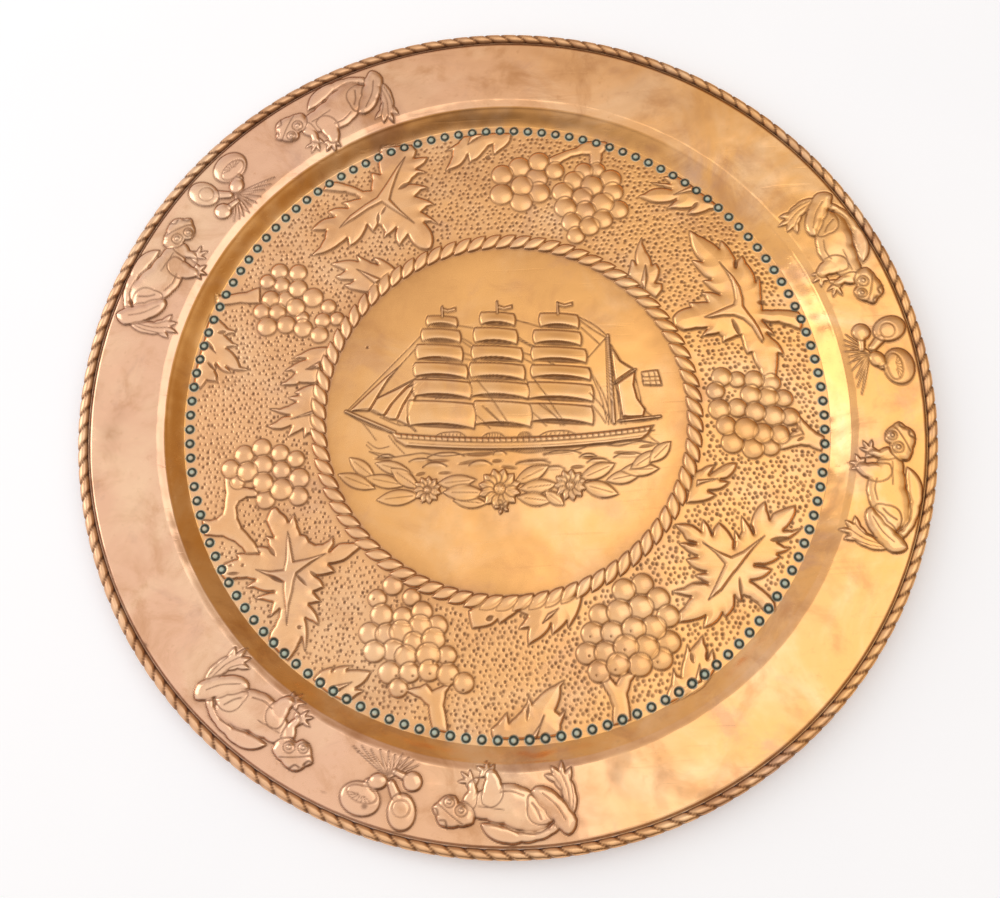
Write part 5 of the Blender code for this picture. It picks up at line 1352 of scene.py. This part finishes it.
def edgePiece():  # the rolled edge, cut across on a slant so that it reads as a rope
    around = 2 * math.pi * np.arange(edge["columns"]) / edge["columns"]
    a, f = np.meshgrid(around, np.linspace(math.pi, -math.pi, edge["rows"] + 1), indexing="xy")
    centreR = dish["radius"] - dish["roll"]
    centreZ = dish["sheet"] + dish["rimHeight"] + dish["rimRise"] + dish["rollStand"] - dish["roll"]
    slant = edge["lean"] / dish["radius"] * np.cos(f) / 2 * np.sign(np.sin(f) + 1e-9)
    turn = edge["twists"] * (a - slant) / (2 * math.pi)
    fromCut = np.abs(turn - np.round(turn)) * 2
    top = smooth(np.sin(f) * 2.5 + 1.2)
    puff = edge["puff"] * (1 - smooth(fromCut * 1.4))
    size = dish["roll"] - top * (edge["cut"] * np.exp(-((fromCut / edge["cutWidth"]) ** 2)) + puff)
    r, z = centreR + size * np.cos(f), centreZ + size * np.sin(f)
    points = np.stack([r * np.cos(a), r * np.sin(a), z], -1)
    alongA = np.roll(points, -1, 1) - np.roll(points, 1, 1)
    alongF = np.gradient(points, axis=0)
    normals = np.cross(alongA, alongF)
    normals /= np.linalg.norm(normals, axis=-1)[..., None]
    outward = np.stack([np.cos(f) * np.cos(a), np.cos(f) * np.sin(a), np.sin(f)], -1)
    if (normals * outward).sum() < 0:
        normals = -normals
    ink = edge["ink"] * np.exp(-((fromCut / edge["inkWidth"]) ** 2)) * top
    # painted shade: the inner side of the roll, where it meets the rim, is darkened
    inner = smooth((-np.cos(f) - 0.62) / 0.28) * edge["ink"]
    values = {
        "ink": np.maximum(ink, inner).ravel(),
        # painted shade in the cuts between the twists
        "hollow": np.clip(1.15 - fromCut * 1.5, 0, 1).ravel() * 0.95,
        # painted highlight on the upper side of each twist
        "polishAndHighlight": (np.clip(np.sin(f), 0, 1) * smooth(fromCut * 1.5)).ravel() * 0.6,
        "green": np.zeros(f.size),
    }
    quads = netQuads(edge["rows"] + 1, edge["columns"], True)[:, ::-1]
    addPiece("rolledEdge", points.reshape(-1, 3), quads, normals.reshape(-1, 3), values, edgeCopper)


back = {"columns": 300, "gap": 2.2, "hollow": 0.55, "soften": 2.6}


def backPiece():  # the plain underside, with a shallow hollow behind each raised form
    radii = np.linspace(rimOuter, back["gap"], int(rimOuter / back["gap"]))
    r, a = np.meshgrid(radii, 2 * math.pi * np.arange(back["columns"]) / back["columns"], indexing="ij")
    x, y = np.append(r * np.cos(a), 0.0), np.append(r * np.sin(a), 0.0)
    lift = blurred(layer["rise"] * (layer["shape"] > 0.3), back["soften"]) * back["hollow"]
    z, normals = surface(x, y, lift, np.gradient(lift, net["cell"]), wallShift())
    quads = netQuads(len(radii), back["columns"], True)[:, ::-1]
    last = (len(radii) - 1) * back["columns"]
    fans = np.array([(last + (k + 1) % back["columns"], last + k, len(x) - 1) for k in range(back["columns"])])
    values = {key: np.zeros(len(x)) for key in ("ink", "polishAndHighlight", "green")}
    # the hollows behind the raised forms turn umber: patina and painted shade
    values["hollow"] = np.clip(sampled(lift, x, y), 0, 1)
    points = np.stack([x, y, z - dish["sheet"]], 1)
    addPiece("underside", points, list(quads) + list(fans), -normals, values, backCopper)


edgePiece()
backPiece()
triangles = sum(len(piece.data.loops) - 2 * len(piece.data.polygons) for piece in pieces)
print("edge and underside built:", triangles, "triangles in", len(pieces), "pieces")


# Floor, light and camera

studio = {
    "floor": colour(0.95, 0.955, 0.965),
    "floorShade": colour(0.78, 0.80, 0.86),
    "floorGlow": 0.13,
    "zenith": (1.0, 1.0, 1.0),
    "left": (1.2, 1.28, 1.4),  # a large window to the left, the darker room to the right and behind the camera
    "right": (0.62, 0.47, 0.27),
    "back": (0.72, 0.67, 0.66),
    "front": (0.14, 0.11, 0.09),
    "strength": 0.98,
}


view = {
    "place": (-0.0056, -0.2515, 0.8322),
    "aim": (-0.00563, -0.02424, 0.0),
    "roll": -2.597,
    "focal": 43.98,
    "sensor": 36.0,
}


def skylight():  # a soft surround, light overhead and graded towards the horizon
    world = bpy.data.worlds.new("studio")
    bpy.context.scene.world = world
    world.use_nodes = True
    tree = world.node_tree
    at = add(tree, "SeparateXYZ", {0: add(tree, "TexCoord").outputs["Generated"]}).outputs
    side = spread(tree, at[0], -0.7, 0.7)
    depth = spread(tree, at[1], -1.05, -0.5)
    across = blend(tree, side, (*studio["left"], 1), (*studio["right"], 1))
    along = blend(tree, depth, (*studio["front"], 1), (*studio["back"], 1))
    low = blend(tree, 1.0, across, along, "MULTIPLY")
    aside = calc(tree, "MULTIPLY", calc(tree, "ABSOLUTE", at[1]), 0.5)
    high = spread(tree, calc(tree, "SUBTRACT", at[2], aside), 0.2, 0.78)
    shade = blend(tree, high, low, (*studio["zenith"], 1))
    background = tree.nodes["Background"]
    tree.links.new(shade, background.inputs["Color"])
    background.inputs["Strength"].default_value = studio["strength"]


def floor():
    mesh = bpy.data.meshes.new("floor")
    mesh.from_pydata([(-3, -3, 0), (3, -3, 0), (3, 3, 0), (-3, 3, 0)], [], [(0, 1, 2, 3)])
    piece = bpy.data.objects.new("floor", mesh)
    bpy.context.scene.collection.objects.link(piece)
    material = bpy.data.materials.new("paleCloth")
    material.use_nodes = True
    tree = material.node_tree
    shader = tree.nodes["Principled BSDF"]
    weave = spread(tree, noise(tree, 3.0, 3.0), 0.3, 0.7)
    cloth = blend(tree, calc(tree, "MULTIPLY", weave, 0.12), studio["floor"], studio["floorShade"])
    tree.links.new(cloth, shader.inputs["Base Color"])
    shader.inputs["Roughness"].default_value = 0.9
    shader.inputs["Emission Color"].default_value = colour(1, 1, 1)
    shader.inputs["Emission Strength"].default_value = studio["floorGlow"]
    mesh.materials.append(material)


def softLight(name, place, aim, size, power, tint):
    lamp = bpy.data.lights.new(name, "AREA")
    lamp.shape = "RECTANGLE"
    lamp.size, lamp.size_y = size
    lamp.energy = power
    lamp.color = tint
    held = bpy.data.objects.new(name, lamp)
    bpy.context.scene.collection.objects.link(held)
    held.location = place
    run = Vector(aim) - Vector(place)
    held.rotation_euler = run.to_track_quat("-Z", "Y").to_euler()


def camera():  # at the photo's viewing angle
    optics = bpy.data.cameras.new("camera")
    optics.sensor_width = view["sensor"]
    optics.lens = view["focal"]
    held = bpy.data.objects.new("camera", optics)
    bpy.context.scene.collection.objects.link(held)
    place, aim, roll = Vector(view["place"]), Vector(view["aim"]), math.radians(view["roll"])
    ahead = (aim - place).normalized()
    right = ahead.cross(Vector((0, 0, 1))).normalized()
    up = right.cross(ahead)
    across = right * math.cos(roll) + up * math.sin(roll)
    upright = up * math.cos(roll) - right * math.sin(roll)
    turn = Matrix((across, upright, -ahead)).transposed()
    held.matrix_world = Matrix.Translation(place) @ turn.to_4x4()
    bpy.context.scene.camera = held


floor()
softLight("window", (-1.5, 0.5, 0.9), (0, 0, 0), (0.9, 1.4), 6.0, (0.96, 0.98, 1.0))
softLight("lamp", (0.58, 0.2, 1.6), (0, 0, 0), (1.0, 1.1), 2.0, (1.0, 0.98, 0.95))
skylight()
bpy.context.scene.view_settings.view_transform = "Standard"
camera()
print("stage set")
